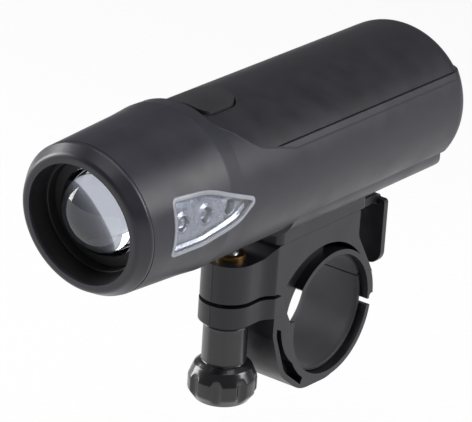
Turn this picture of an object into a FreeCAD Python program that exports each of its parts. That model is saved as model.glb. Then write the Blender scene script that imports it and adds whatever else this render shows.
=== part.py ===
"""Bicycle front lamp on a quick-release handlebar clamp.

Frame: the handlebar runs along X through the origin, the lamp shines towards -Y, +Z is up.
Lengths are in millimetres, angles in degrees. Lamp pieces are drawn about the lamp's own
axis and lifted by axis_height; the optical stack is drawn about its own axis, which leaves
the lamp's front plane and looks down at the road by face_tilt.
"""
import FreeCAD, Part
import math
import os
import Sketcher

doc = FreeCAD.newDocument("bike_light")
sheet = doc.addObject("Spreadsheet::Sheet", "Sizes")

SIZES = [
    # lamp case, measured from the lamp's axis
    ("front_y", -94.8), ("rear_y", 42.0), ("face_tilt", 6.8),
    ("rim_radius", 20.8), ("head_radius", 22.6), ("head_y", -66.0), ("case_radius", 22.4),
    ("case_wall", 2.2), ("rear_round", 6.0), ("case_y", -60.5), ("seam_height", 10.6),
    # pan under the case
    ("ledge_drop", 13.0), ("belly_inset", 1.0), ("belly_y", -30.4), ("belly_wall", 1.8),
    ("pan_side", 5.4), ("pan_corner", 9.5), ("pan_round", 6.0), ("part_gap", 0.2),
    # cover on top of the case
    ("crown_radius", 24.0), ("crown_height", 20.3), ("cover_wall", 2.0), ("cover_y", -61.7),
    ("cover_nose", 11.3), ("cover_cheek", 18.6), ("cheek_y", -51.8), ("cover_half", 20.4),
    ("side_y", -37.0), ("cover_gap", 0.3), ("shelf_width", 2.6), ("shelf_thick", 1.6),
    ("seal_inset", 0.6), ("seal_width", 1.0), ("seal_thick", 0.9),
    ("tongue_half", 6.0), ("tongue_reach", 3.0), ("tongue_thick", 1.2), ("tongue_drop", 4.0),
    # switch button and what it presses
    ("button_y", -50.8), ("button_half", 6.7), ("button_length", 15.4), ("button_corner", 5.6),
    ("button_gap", 0.5), ("button_proud", 0.8), ("flange_out", 1.6), ("flange_ahead", 0.7),
    ("flange_thick", 0.9), ("stem_radius", 2.2),
    ("board_height", 5.95), ("board_thick", 1.6), ("board_half", 17.0), ("board_length", 30.0),
    ("switch_half", 3.1), ("switch_tall", 3.6), ("plunger_radius", 1.7), ("plunger_tall", 1.4),
    # optical stack, measured along its own axis from the front plane
    ("lip_radius", 16.4), ("lip_land", 2.1), ("lip_round", 1.7), ("lip_thick", 0.8),
    ("bezel_depth", 4.4), ("skirt_radius", 19.0), ("skirt_length", 6.0), ("tunnel_radius", 17.1),
    ("throat_radius", 15.0), ("throat_depth", 1.6), ("floor_thick", 0.8),
    ("lens_depth", 3.7), ("lens_radius", 12.0), ("lens_rise", 7.8), ("lens_flange", 13.2),
    ("lens_edge", 1.2), ("stack_radius", 16.2), ("holder_wall", 1.5), ("holder_length", 17.3),
    ("ring_thick", 0.5), ("cup_throat", 3.4), ("cup_wall", 1.2),
    ("star_radius", 9.8), ("star_thick", 1.6), ("star_screw_radius", 7.2),
    ("emitter_half", 1.75), ("emitter_thick", 0.8), ("emitter_dome", 1.3),
    ("sink_radius", 12.6), ("fin_length", 4.4), ("sink_plate", 3.0), ("fin_gap", 1.5),
    ("fin_pitch", 3.6), ("wire_radius", 2.5), ("wire_drop", 8.0),
    # side windows
    ("window_front", -87.6), ("window_tip", -54.6), ("window_top", 9.0), ("window_low", 7.2),
    ("window_wall", 1.4), ("window_proud", 0.25), ("window_rim", 1.3),
    ("bead_radius", 1.6), ("bead_pitch", 8.7), ("bead_first", -82.8), ("bead_height", 1.0),
    ("strip_thick", 0.8), ("strip_depth", 4.6), ("strip_half", 2.3), ("strip_end", 1.9),
    # cells and their carrier
    ("cell_radius", 7.2), ("cell_length", 50.3), ("cell_pitch", 14.8), ("nub_radius", 2.75),
    ("nub_length", 1.2), ("spring_length", 5.3), ("spring_radius", 3.6), ("contact_thick", 0.4),
    ("carrier_y", -26.0), ("carrier_plate", 2.0), ("carrier_half", 15.0), ("carrier_rail", 1.4),
    ("carrier_rail_half", 5.0), ("cradle_thick", 1.4), ("cradle_half", 5.5), ("spine_radius", 3.0),
    # shoe under the pan and rail on the bracket
    ("shoe_half", 10.0), ("shoe_front", -26.5), ("shoe_rear", 12.5), ("shoe_tall", 3.8),
    ("foot_gap", 0.2), ("rail_stem", 4.0), ("rail_flange", 7.0), ("stem_tall", 1.4),
    ("flange_tall", 1.45), ("rail_front", -25.0), ("rail_rear", 8.0), ("slide_gap", 0.15),
    ("screw_radius", 1.0), ("screw_head", 2.0), ("screw_x", 8.6), ("screw_long", 4.0),
    ("pad_tall", 0.6),
    # clamp bracket
    ("bar_radius", 15.9), ("liner_thick", 1.3), ("band_thick", 1.4), ("heel_thick", 2.4),
    ("bracket_half", 9.8), ("liner_half", 7.3), ("base_top", 28.0), ("base_front", -26.7),
    ("base_rear", 10.5), ("arch_radius", 23.0), ("arch_y", -5.5), ("arch_z", -0.7),
    ("band_front_angle", 141.0), ("band_rear_angle", 3.0), ("boss_y", -35.0),
    ("boss_radius", 7.6), ("boss_top", 24.8), ("boss_low", 14.0), ("web_half", 1.25),
    # lower jaw and its hooked hinge
    ("lug_radius", 7.7), ("lug_top", 12.9), ("lug_low", 7.1), ("hook_y", 19.1), ("hook_z", -0.6),
    ("hook_radius", 1.0), ("hook_half", 4.0), ("hook_gap", 0.1), ("jaw_rear_angle", 9.0),
    ("jaw_thick", 1.6), ("groove_depth", 3.6), ("slot_radius", 3.1), ("slot_reach", 0.9),
    # clamping screw
    ("bolt_radius", 2.4), ("bolt_tip", 26.9), ("washer_radius", 6.2), ("washer_thick", 0.8),
    ("washer_gap", 0.25), ("neck_radius", 6.1), ("neck_end", -4.8), ("knob_radius", 9.4),
    ("knob_low", -16.2), ("flute_radius", 1.8), ("flute_count", 8), ("bolt_head", 4.1),
    ("bolt_head_thick", 3.4), ("nut_radius", 3.6), ("nut_depth", 6.6), ("nut_proud", 1.3),
    ("nut_collar", 4.2), ("fit_gap", 0.05),
    # release tab
    ("pin_y", 12.1), ("pin_z", 26.0), ("pin_radius", 0.6), ("ear_near", 5.6), ("ear_far", 7.0),
    ("tab_half", 8.0), ("tab_y", 24.6), ("tab_thick", 1.8), ("tab_low", 6.4), ("tab_corner", 4.0),
]
for row, (alias, number) in enumerate(SIZES, start=1):
    sheet.set(f"A{row}", alias)
    sheet.set(f"B{row}", str(number))
    sheet.setAlias(f"B{row}", alias)
doc.recompute()


class Size:
    """A length with both its number and the sheet expression that gives it."""

    def __init__(self, number, text):
        self.number = float(number)
        self.text = text

    def __add__(self, other):
        other = length(other)
        return Size(self.number + other.number, f"({self.text} + {other.text})")

    def __sub__(self, other):
        other = length(other)
        return Size(self.number - other.number, f"({self.text} - {other.text})")

    def __mul__(self, other):
        other = length(other)
        return Size(self.number * other.number, f"({self.text} * {other.text})")

    def __truediv__(self, other):
        other = length(other)
        return Size(self.number / other.number, f"({self.text} / {other.text})")

    def __radd__(self, other):
        return length(other) + self

    def __rsub__(self, other):
        return length(other) - self

    def __rmul__(self, other):
        return length(other) * self

    def __neg__(self):
        return Size(-self.number, f"(-{self.text})")


def length(value):
    """A Size from a Size, a plain number or the alias of a cell."""
    if isinstance(value, Size):
        return value
    if isinstance(value, str):
        return Size(sheet.get(value), f"Sizes.{value}")
    return Size(value, repr(float(value)))


def root(value):
    """Square root of a Size."""
    return Size(math.sqrt(value.number), f"sqrt({value.text})")


def cosine(angle):
    """Cosine of a Size in degrees."""
    return Size(math.cos(math.radians(angle.number)), f"cos({angle.text} * 1 deg)")


def sine(angle):
    """Sine of a Size in degrees."""
    return Size(math.sin(math.radians(angle.number)), f"sin({angle.text} * 1 deg)")


S = {alias: length(alias) for alias, number in SIZES}
S["pan_floor"] = S["case_radius"] - S["belly_inset"]
S["shoe_drop"] = S["pan_floor"] + S["shoe_tall"]
S["axis_height"] = S["base_top"] + S["foot_gap"] + S["shoe_drop"]
S["strip_x"] = S["head_radius"] - S["strip_depth"]
nodes = []


def bind(thing, prop, value):
    """Sets a numeric property and ties it to the sheet."""
    value = length(value)
    thing.setExpression(prop, value.text)


def place(thing, x=0, y=0, z=0, axis=None, angle=None):
    """Ties an object's place to the sheet, with an optional turn about one axis."""
    for name, value in zip("xyz", (x, y, z)):
        bind(thing, f"Placement.Base.{name}", value)
    if axis is not None:
        thing.Placement.Rotation = FreeCAD.Rotation(FreeCAD.Vector(*axis), length(angle).number)
        bind(thing, "Placement.Rotation.Angle", length(angle))


def new_body(name):
    """An empty body."""
    return doc.addObject("PartDesign::Body", name)


def plane_of(body, role):
    """One of a body's own origin planes."""
    return next(f for f in body.Origin.OriginFeatures if f.Role == role)


def new_sketch(body, name, role, offset=None):
    """A sketch on one of the body's planes, lifted along the plane's normal by offset."""
    sketch = body.newObject("Sketcher::SketchObject", name)
    sketch.AttachmentSupport = [(plane_of(body, role), "")]
    sketch.MapMode = "FlatFace"
    if offset is not None:
        bind(sketch, "AttachmentOffset.Base.z", offset)
    return sketch


def pin_point(sketch, part, point, u, v):
    """Ties point 1 (start), 2 (end) or 3 (centre) of a sketch's part to the origin."""
    for kind, value in (("DistanceX", u), ("DistanceY", v)):
        value = length(value)
        datum = Sketcher.Constraint(kind, -1, 1, part, point, value.number)
        index = sketch.addConstraint(datum)
        sketch.setExpression(f"Constraints[{index}]", value.text)


def unit(a, b):
    """Direction from one point to another."""
    size = math.hypot(b[0] - a[0], b[1] - a[1])
    return ((b[0] - a[0]) / size, (b[1] - a[1]) / size)


def outline(body, name, role, corners, offset=None):
    """A closed outline through corners (u, v) or, rounded, (u, v, radius)."""
    sketch = new_sketch(body, name, role, offset)
    count = len(corners)
    spots = [(length(c[0]).number, length(c[1]).number) for c in corners]
    start = []
    end = []
    for i, corner in enumerate(corners):
        here = spots[i]
        if len(corner) == 2:
            start.append(here)
            end.append(here)
            continue
        back = unit(here, spots[i - 1])
        ahead = unit(here, spots[(i + 1) % count])
        turn = math.acos(back[0] * ahead[0] + back[1] * ahead[1])
        reach = length(corner[2]).number / math.tan(turn / 2)
        start.append((here[0] + back[0] * reach, here[1] + back[1] * reach))
        end.append((here[0] + ahead[0] * reach, here[1] + ahead[1] * reach))
    lines = []
    for i in range(count):
        a = FreeCAD.Vector(*end[i], 0)
        b = FreeCAD.Vector(*start[(i + 1) % count], 0)
        lines.append(sketch.addGeometry(Part.LineSegment(a, b)))
    for i, corner in enumerate(corners):
        before = lines[i - 1]
        after = lines[i]
        if len(corner) == 2:
            sketch.addConstraint(Sketcher.Constraint("Coincident", before, 2, after, 1))
            pin_point(sketch, after, 1, corner[0], corner[1])
            continue
        add_round(sketch, before, after, spots[i], start[i], end[i], corner)
    return sketch


def add_round(sketch, before, after, spot, start, end, corner):
    """An arc tangent to two lines, whose sharp corner stays tied to the sheet."""
    radius = length(corner[2])
    middle = ((start[0] + end[0]) / 2 - spot[0], (start[1] + end[1]) / 2 - spot[1])
    size = math.hypot(*middle)
    reach = math.hypot(start[0] - spot[0], start[1] - spot[1])
    far = math.hypot(reach, radius.number)
    centre = (spot[0] + middle[0] / size * far, spot[1] + middle[1] / size * far)
    near = far - radius.number
    bulge = (spot[0] + middle[0] / size * near, spot[1] + middle[1] / size * near)
    arc = Part.Arc(FreeCAD.Vector(*start, 0), FreeCAD.Vector(*bulge, 0), FreeCAD.Vector(*end, 0))
    index = sketch.addGeometry(arc)
    turned = (start[0] - centre[0]) * (end[1] - centre[1]) - (start[1] - centre[1]) * (end[0] - centre[0])
    first, last = (1, 2) if turned > 0 else (2, 1)
    sketch.addConstraint(Sketcher.Constraint("Tangent", before, 2, index, first))
    sketch.addConstraint(Sketcher.Constraint("Tangent", index, last, after, 1))
    datum = sketch.addConstraint(Sketcher.Constraint("Radius", index, radius.number))
    sketch.setExpression(f"Constraints[{datum}]", radius.text)
    tip = sketch.addGeometry(Part.Point(FreeCAD.Vector(*spot, 0)), True)
    pin_point(sketch, tip, 1, corner[0], corner[1])
    sketch.addConstraint(Sketcher.Constraint("PointOnObject", tip, 1, before))
    sketch.addConstraint(Sketcher.Constraint("PointOnObject", tip, 1, after))


def circle(body, name, role, u, v, radius, offset=None):
    """A sketch holding one circle."""
    sketch = new_sketch(body, name, role, offset)
    radius = length(radius)
    middle = FreeCAD.Vector(length(u).number, length(v).number, 0)
    index = sketch.addGeometry(Part.Circle(middle, FreeCAD.Vector(0, 0, 1), radius.number))
    datum = sketch.addConstraint(Sketcher.Constraint("Radius", index, radius.number))
    sketch.setExpression(f"Constraints[{datum}]", radius.text)
    pin_point(sketch, index, 3, u, v)
    return sketch


def extrude(body, kind, sketch, depth, both=False, reverse=False):
    """A pad or pocket of a sketch, one way or to both sides."""
    feature = body.newObject(f"PartDesign::{kind}", f"{sketch.Name}_{kind.lower()}")
    feature.Profile = sketch
    bind(feature, "Length", depth)
    if both:
        feature.SideType = "Symmetric"
    feature.Reversed = reverse
    return feature


def pad(body, sketch, depth, both=False, reverse=False):
    """Adds material along the sketch's normal."""
    return extrude(body, "Pad", sketch, depth, both, reverse)


def pocket(body, sketch, depth, both=False, reverse=False):
    """Cuts against the sketch's normal, or along it when reversed."""
    return extrude(body, "Pocket", sketch, depth, both, reverse)


def turn(body, kind, sketch, axis):
    """A full revolution or groove about one of the sketch's axes."""
    feature = body.newObject(f"PartDesign::{kind}", f"{sketch.Name}_{kind.lower()}")
    feature.Profile = sketch
    feature.ReferenceAxis = (sketch, [axis])
    feature.Angle = 360
    return feature


def revolve(body, sketch, axis="V_Axis"):
    """A turned solid."""
    return turn(body, "Revolution", sketch, axis)


def polar(body, feature, count, axis="Z_Axis"):
    """Repeats a feature round one of the body's axes."""
    pattern = body.newObject("PartDesign::PolarPattern", f"{feature.Name}_ring")
    pattern.Originals = [feature]
    pattern.Axis = (plane_of(body, axis), [""])
    pattern.Angle = 360
    bind(pattern, "Occurrences", count)
    body.Tip = pattern
    return pattern


def turned_piece(name, corners):
    """A piece turned about its own Z axis from a profile of (radius, height) corners."""
    body = new_body(name)
    revolve(body, outline(body, f"{name}_profile", "XZ_Plane", corners))
    return body


def prism(name, role, corners, depth, offset=None):
    """A straight prism, to both sides of its plane."""
    body = new_body(name)
    pad(body, outline(body, f"{name}_outline", role, corners, offset), depth, both=True)
    return body


def cylinder(name, radius, height, x=0, y=0, z=0, axis=None, angle=90):
    """A cylinder that starts at its place and rises along its own Z."""
    thing = doc.addObject("Part::Cylinder", name)
    bind(thing, "Radius", radius)
    bind(thing, "Height", height)
    place(thing, x, y, z, axis, angle if axis else None)
    return thing


def box(name, low, high):
    """A box between two corners."""
    thing = doc.addObject("Part::Box", name)
    for prop, a, b in zip(("Length", "Width", "Height"), low, high):
        bind(thing, prop, length(b) - length(a))
    place(thing, *low)
    return thing


def dome(name, radius, x=0, y=0, z=0):
    """A ball."""
    thing = doc.addObject("Part::Sphere", name)
    bind(thing, "Radius", radius)
    place(thing, x, y, z)
    return thing


def fuse(name, *shapes):
    """Several shapes as one."""
    thing = doc.addObject("Part::MultiFuse", name)
    thing.Shapes = list(shapes)
    thing.Refine = True
    return thing


def cut(name, base, *tools):
    """A shape less one or more tools."""
    thing = doc.addObject("Part::Cut", name)
    thing.Base = base
    thing.Tool = tools[0] if len(tools) == 1 else fuse(f"{name}_tools", *tools)
    thing.Refine = True
    return thing


def common(name, *shapes):
    """What several shapes share."""
    thing = doc.addObject("Part::MultiCommon", name)
    thing.Shapes = list(shapes)
    thing.Refine = True
    return thing


def group(name, *shapes):
    """Separate solids kept in one node."""
    thing = doc.addObject("Part::Compound", name)
    thing.Links = list(shapes)
    return thing


def keep(name, thing):
    """Names a finished sub-part."""
    thing.Label = name
    nodes.append(thing)
    return thing


def on_lamp(thing):
    """Lifts a piece drawn about the lamp's axis to its height."""
    place(thing, 0, 0, S["axis_height"])
    return thing


# Frames of the lamp and of the optical stack

def lamp_turned(name, corners):
    """A piece turned about the lamp's axis from (y, radius) corners."""
    body = new_body(name)
    revolve(body, outline(body, f"{name}_profile", "YZ_Plane", corners), "H_Axis")
    return on_lamp(body)


def side_prism(name, corners, width):
    """A prism across the lamp from a side outline (y, height above the axis)."""
    return on_lamp(prism(name, "YZ_Plane", corners, width))


def upright(name, corners, low, high):
    """An upright prism from a plan outline (x, y), between two heights."""
    body = new_body(name)
    sketch = outline(body, f"{name}_plan", "XY_Plane", corners, low)
    pad(body, sketch, length(high) - length(low))
    return body


def plan_prism(name, corners, low, high):
    """An upright prism between two heights above the lamp's axis."""
    return on_lamp(upright(name, corners, low, high))


def lamp_box(name, low, high):
    """A box given by two corners measured from the lamp's axis."""
    lift = S["axis_height"]
    return box(name, (low[0], low[1], lift + low[2]), (high[0], high[1], lift + high[2]))


def along_optics(thing, distance):
    """Turns a piece into the optical axis, its own origin at a distance ahead of the front plane."""
    distance = length(distance)
    tilt = S["face_tilt"]
    y = S["front_y"] - cosine(tilt) * distance
    z = S["axis_height"] - sine(tilt) * distance
    place(thing, 0, y, z, (1, 0, 0), tilt + 90)
    return thing


def optics_cylinder(name, radius, back, front):
    """A cylinder on the optical axis between two distances from the front plane."""
    return along_optics(cylinder(name, radius, length(front) - length(back)), back)


def mirrored(corners):
    """A symmetric outline: corners on the +X side, front to rear, then their mirror images."""
    other = [(-length(c[0]), *c[1:]) for c in reversed(corners)]
    return list(corners) + other


# Lamp case

def case_profile(inset, front, back_inset=0):
    """Outer profile of the case, moved inwards by inset."""
    inset = length(inset)
    return [
        (front, 0),
        (front, S["rim_radius"] - 0.4 - inset),
        (S["head_y"] - 6, S["head_radius"] - 0.6 - inset, 40),
        (S["head_y"], S["head_radius"] - inset, 4),
        (S["case_y"], S["case_radius"] - inset, 4),
        (S["rear_y"] - back_inset, S["case_radius"] - inset, S["rear_round"] - back_inset),
        (S["rear_y"] - back_inset, 0),
    ]


def cover_plan(inset):
    """Plan of the cover's opening, narrowed by inset."""
    inset = length(inset)
    return mirrored([
        (S["cover_nose"] - inset * 0.6, S["cover_y"] + inset, 5),
        (S["cover_cheek"] - inset, S["cheek_y"] + inset * 0.4, 14),
        (S["cover_half"] - inset, S["side_y"]),
        (S["cover_half"] - inset, S["rear_y"] + 6 - inset),
    ])


def window_side(inset):
    """Side outline of a side window, narrowed by inset."""
    inset = length(inset)
    front = S["window_front"] + inset
    top = S["window_top"] - inset
    low = -(S["window_low"] - inset)
    return [
        (front, top, 2.0),
        (front + 14 - inset, top - 1.0, 25),
        (S["window_tip"] - inset * 2.2, 1.0, 1.6),
        (front + 26 - inset * 1.6, low + 3.2, 9),
        (front + 13 - inset, low, 16),
        (front, low, 2.0),
    ]


def crown(name, inset, front):
    """Turned envelope of the cover, its crown moved inwards by inset."""
    inset = length(inset)
    body = new_body(name)
    radius = S["crown_radius"] - inset
    corners = [
        (front, 0), (front, radius),
        (S["rear_y"] - inset, radius, S["rear_round"] + 0.5 - inset),
        (S["rear_y"] - inset, 0),
    ]
    revolve(body, outline(body, f"{name}_profile", "YZ_Plane", corners), "H_Axis")
    place(body, 0, 0, S["axis_height"] + S["crown_height"] - S["crown_radius"])
    return body


def window_band(name, low_inset, high_inset):
    """Ring that follows the head, between two depths under its surface."""
    outer = lamp_turned(f"{name}_outer", case_profile(high_inset, S["front_y"] - 2))
    inner = lamp_turned(f"{name}_inner", case_profile(low_inset, S["front_y"] - 4))
    return cut(name, outer, inner)


def main_housing():
    """Case: turned shell cut by the raked front plane, with its bores and openings."""
    shell = lamp_turned("case_shell", case_profile(0, S["front_y"] - 6))
    wall = S["case_wall"]
    room = S["case_radius"] - wall
    rear = S["rear_y"] - wall
    shelf_low = S["seam_height"] - S["shelf_thick"]
    shelf = cut(
        "cover_shelf",
        lamp_box("shelf_block", (-30, S["cover_y"] - 1, shelf_low), (30, S["side_y"], 40)),
        plan_prism("shelf_opening", cover_plan(S["shelf_width"]), shelf_low - 1, 41),
    )
    hollow = cut("case_hollow", lamp_turned("case_room", [
        (S["cover_y"], 0), (S["cover_y"], room, 1.5), (rear, room, S["rear_round"] - wall), (rear, 0),
    ]), shelf)
    gap = S["fit_gap"]
    sink_back = -(S["lens_depth"] + S["holder_length"] + S["sink_plate"])
    tools = [
        hollow,
        optics_cylinder("front_trim", 40, 0, 20),
        optics_cylinder("skirt_bore", S["skirt_radius"] + gap, -S["skirt_length"] - gap, 1),
        optics_cylinder("stack_bore", S["stack_radius"] + gap, sink_back - gap, 1),
        optics_cylinder("fin_bore", S["sink_radius"] + 0.6, sink_back - S["fin_length"] - 0.6, -10),
        plan_prism("cover_pocket", cover_plan(0), S["seam_height"], 40),
        lamp_box("belly_opening", (-40, S["belly_y"], -40), (40, 60, -S["ledge_drop"])),
        cylinder("wire_hole", S["wire_radius"], 20, 0, S["cover_y"] - 12,
                 S["axis_height"] - S["wire_drop"], (1, 0, 0), -90),
        lamp_box(
            "tongue_slot",
            (-S["tongue_half"] - 0.4, S["cover_y"] - S["tongue_reach"] - 0.3, S["crown_height"] - 7),
            (S["tongue_half"] + 0.4, S["cover_y"] + 1, S["crown_height"] - S["tongue_drop"] + 0.8),
        ),
    ]
    recess = common(
        "window_recess",
        window_band("recess_band", S["window_wall"], -1),
        side_prism("recess_side", window_side(0), 80),
    )
    tools.append(recess)
    floor = S["strip_x"] - S["strip_thick"]
    for side, name in ((1, "left"), (-1, "right")):
        low, high = (floor, length(30)) if side > 0 else (-length(30), -floor)
        block = lamp_box(f"light_block_{name}", (low, -100, -20), (high, -50, 20))
        side_room = side_prism(f"light_side_{name}", window_side(S["window_rim"]), 80)
        tools.append(common(f"light_pocket_{name}", block, side_room))
    case = cut("case", shell, *tools)
    ledges = []
    for side, name in ((1, "left"), (-1, "right")):
        near, far = (15.6, 20.6) if side > 0 else (-20.6, -15.6)
        top = S["board_height"]
        ledge = lamp_box(f"board_ledge_{name}", (near, S["cover_y"] - 0.5, top - 1.6), (far, -28, top))
        envelope = lamp_turned(f"ledge_limit_{name}", case_profile(0.5, S["front_y"]))
        ledges.append(common(f"board_shelf_{name}", ledge, envelope))
    keep("main_housing", fuse("main_housing", case, *ledges))


def bezel_ring():
    """Front ring: rounded land at the lip, bevel outside, skirt that enters the case."""
    lip = S["lip_radius"]
    skirt = S["skirt_radius"]
    inner = S["tunnel_radius"] + S["fit_gap"]
    front = S["bezel_depth"]
    body = turned_piece("bezel_ring", [
        (lip, front), (lip + S["lip_land"], front, S["lip_round"]), (S["rim_radius"], 0.9, 1.0),
        (S["rim_radius"] - 0.15, 0), (skirt, 0), (skirt, -S["skirt_length"]),
        (inner, -S["skirt_length"]), (inner, front - S["lip_thick"]), (lip, front - S["lip_thick"]),
    ])
    keep("bezel_ring", along_optics(body, 0))


def light_tunnel():
    """Dull black tube from the lip to the lens, stepped at the throat, with a floor round the lens."""
    top = S["bezel_depth"] - S["lip_thick"]
    floor = -S["lens_depth"]
    back = floor - S["floor_thick"]
    hole = S["lens_radius"] + 0.1
    outer = S["tunnel_radius"]
    body = turned_piece("light_tunnel", [
        (S["lip_radius"], top), (outer, top), (outer, back), (hole, back), (hole, floor),
        (S["throat_radius"] - 0.4, floor), (S["throat_radius"], -S["throat_depth"]),
        (S["lip_radius"] - 0.5, -S["throat_depth"]),
    ])
    keep("light_tunnel", along_optics(body, 0))


def condenser_lens():
    """Deep plano-convex lens with a flat flange under the tunnel's floor."""
    rise = S["lens_rise"]
    radius = S["lens_radius"]
    curve = (radius * radius + rise * rise) / (rise * 2)
    front = -(S["lens_depth"] + S["floor_thick"])
    ball = along_optics(dome("lens_ball", curve), rise - S["lens_depth"] - curve)
    core = optics_cylinder("lens_core", radius, front - 0.1, rise)
    flange = optics_cylinder("lens_rim", S["lens_flange"], front - S["lens_edge"], front)
    keep("condenser_lens", fuse("condenser_lens", common("lens_dome", ball, core), flange))


def lens_retainer():
    """Holder behind the lens with the reflector cup inside, standing on the heat sink."""
    front = -(S["lens_depth"] + S["floor_thick"])
    back = -(S["lens_depth"] + S["holder_length"])
    rim = S["lens_flange"] + 0.1
    seat = front - S["lens_edge"] - S["ring_thick"]
    outer = S["stack_radius"]
    inner = outer - S["holder_wall"]
    throat = S["cup_throat"]
    low = back + S["star_thick"] + 1.8
    thick = S["cup_wall"]
    body = turned_piece("lens_retainer", [
        (rim, front), (outer, front), (outer, back), (inner, back), (inner, seat - 3.4),
        (S["lens_radius"] + 0.6, seat - 3.4), (throat + 5.4 + thick, low + 3.6), (throat + thick, low),
        (throat, low), (throat + 2.9, low + 1.5), (throat + 5.6, low + 4.3), (S["lens_radius"] - 0.9, seat - 4.4),
        (S["lens_radius"] - 0.4, seat), (rim, seat),
    ])
    keep("lens_retainer", along_optics(body, 0))


def lens_seal():
    """Rubber ring under the lens flange."""
    top = -(S["lens_depth"] + S["floor_thick"] + S["lens_edge"])
    low = top - S["ring_thick"]
    body = turned_piece("lens_seal", [
        (S["lens_radius"], top), (S["lens_flange"], top), (S["lens_flange"], low), (S["lens_radius"], low),
    ])
    keep("lens_seal", along_optics(body, 0))


def heat_sink():
    """Turned plate with cross fins behind, drilled for the board's screws."""
    front = -(S["lens_depth"] + S["holder_length"])
    body = new_body("heat_sink")
    profile = [
        (0, front), (S["stack_radius"], front), (S["stack_radius"], front - S["sink_plate"]),
        (S["sink_radius"], front - S["sink_plate"]),
        (S["sink_radius"], front - S["sink_plate"] - S["fin_length"]),
        (0, front - S["sink_plate"] - S["fin_length"]),
    ]
    revolve(body, outline(body, "sink_profile", "XZ_Plane", profile))
    half = S["fin_gap"] / 2
    for i in range(-3, 4):
        centre = S["fin_pitch"] * i
        corners = [
            (centre - half, front - S["sink_plate"]), (centre + half, front - S["sink_plate"]),
            (centre + half, front - S["sink_plate"] - S["fin_length"] - 1),
            (centre - half, front - S["sink_plate"] - S["fin_length"] - 1),
        ]
        sketch = outline(body, f"fin_slot_{i + 3}", "XZ_Plane", corners)
        pocket(body, sketch, 60, both=True)
    hole = circle(body, "sink_tap", "XY_Plane", S["star_screw_radius"], 0, S["screw_radius"], front - 2.6)
    drill = pocket(body, hole, 6, reverse=True)
    polar(body, drill, 3)
    keep("heat_sink", along_optics(body, 0))


def led_board():
    """Round metal-core board with the emitter on it and three screws."""
    back = -(S["lens_depth"] + S["holder_length"])
    top = back + S["star_thick"]
    board = new_body("led_star_board")
    disc = circle(board, "star_disc", "XY_Plane", 0, 0, S["star_radius"], back)
    pad(board, disc, S["star_thick"])
    hole = circle(board, "star_hole", "XY_Plane", S["star_screw_radius"], 0, S["screw_radius"], back - 1)
    polar(board, pocket(board, hole, 5, reverse=True), 3)
    keep("led_star_board", along_optics(board, 0))
    chip = new_body("led_chip")
    half = S["emitter_half"]
    square = [(-half, -half), (half, -half), (half, half), (-half, half)]
    pad(chip, outline(chip, "chip_plan", "XY_Plane", square, top), S["emitter_thick"])
    along_optics(chip, 0)
    wide = S["emitter_dome"]
    bulb = turned_piece("led_bulb", [
        (0, 0), (wide, 0), (wide * 0.8, wide * 0.45), (wide * 0.4, wide * 0.7), (0, wide * 0.75),
    ])
    along_optics(bulb, top + S["emitter_thick"] - 0.02)
    keep("led_emitter", fuse("led_emitter", chip, bulb))
    radius = S["screw_radius"] - S["fit_gap"]
    screws = []
    for i in range(3):
        screw = turned_piece(f"sink_screw_{i}", [
            (0, top - 4), (radius, top - 4), (radius, top), (S["screw_head"] - 0.2, top),
            (S["screw_head"] - 0.2, top + 0.8), (1.0, top + 1.2), (0, top + 1.2),
        ])
        angle = length(120 * i)
        u = S["star_screw_radius"] * cosine(angle)
        v = S["star_screw_radius"] * sine(angle)
        tilt = S["face_tilt"]
        place(screw, u, S["front_y"] - sine(tilt) * v, S["axis_height"] + cosine(tilt) * v,
              (1, 0, 0), tilt + 90)
        screws.append(screw)
    keep("sink_screws", group("sink_screws", *screws))


def side_windows():
    """Clear windows in the flanks of the head, with a board and three beads behind each."""
    for side, name in ((1, "left"), (-1, "right")):
        half = (0, -100, -30) if side > 0 else (-40, -100, -30)
        other = (40, -40, 30) if side > 0 else (0, -40, 30)
        pane = common(
            f"side_window_{name}",
            window_band(f"pane_band_{name}", S["window_wall"], -S["window_proud"]),
            side_prism(f"pane_side_{name}", window_side(0.05), 80),
            lamp_box(f"pane_half_{name}", half, other),
        )
        keep(f"side_window_{name}", pane)
        face = S["strip_x"] * side
        back = (S["strip_x"] - S["strip_thick"]) * side
        low, high = (back, face) if side > 0 else (face, back)
        first = S["bead_first"]
        last = first + S["bead_pitch"] * 2
        rise = S["bead_height"]
        end = S["strip_end"]
        strip = lamp_box(f"side_board_{name}", (low, first - end, rise - S["strip_half"]),
                         (high, last + end, rise + S["strip_half"]))
        keep(f"side_board_{name}", strip)
        beads = []
        wide = S["bead_radius"]
        for i in range(3):
            bead = turned_piece(f"bead_{name}_{i}", [
                (0, 0), (wide, 0), (wide, 0.3), (wide * 0.78, wide * 0.66), (wide * 0.4, wide * 0.93),
                (0, wide),
            ])
            y = first + S["bead_pitch"] * i
            place(bead, face, y, S["axis_height"] + rise, (0, 1, 0), 90 * side)
            beads.append(bead)
        keep(f"side_leds_{name}", group(f"side_leds_{name}", *beads))


# Cover, button and switch

def cover_block(name, inset, low):
    """The cover's outside moved inwards by inset, from a height above the axis upwards."""
    plan = cover_plan(S["cover_gap"] + inset)
    envelope = crown(f"{name}_crown", inset, S["cover_y"] - 1)
    return common(name, envelope, plan_prism(f"{name}_plan", plan, low, 30))


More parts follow.
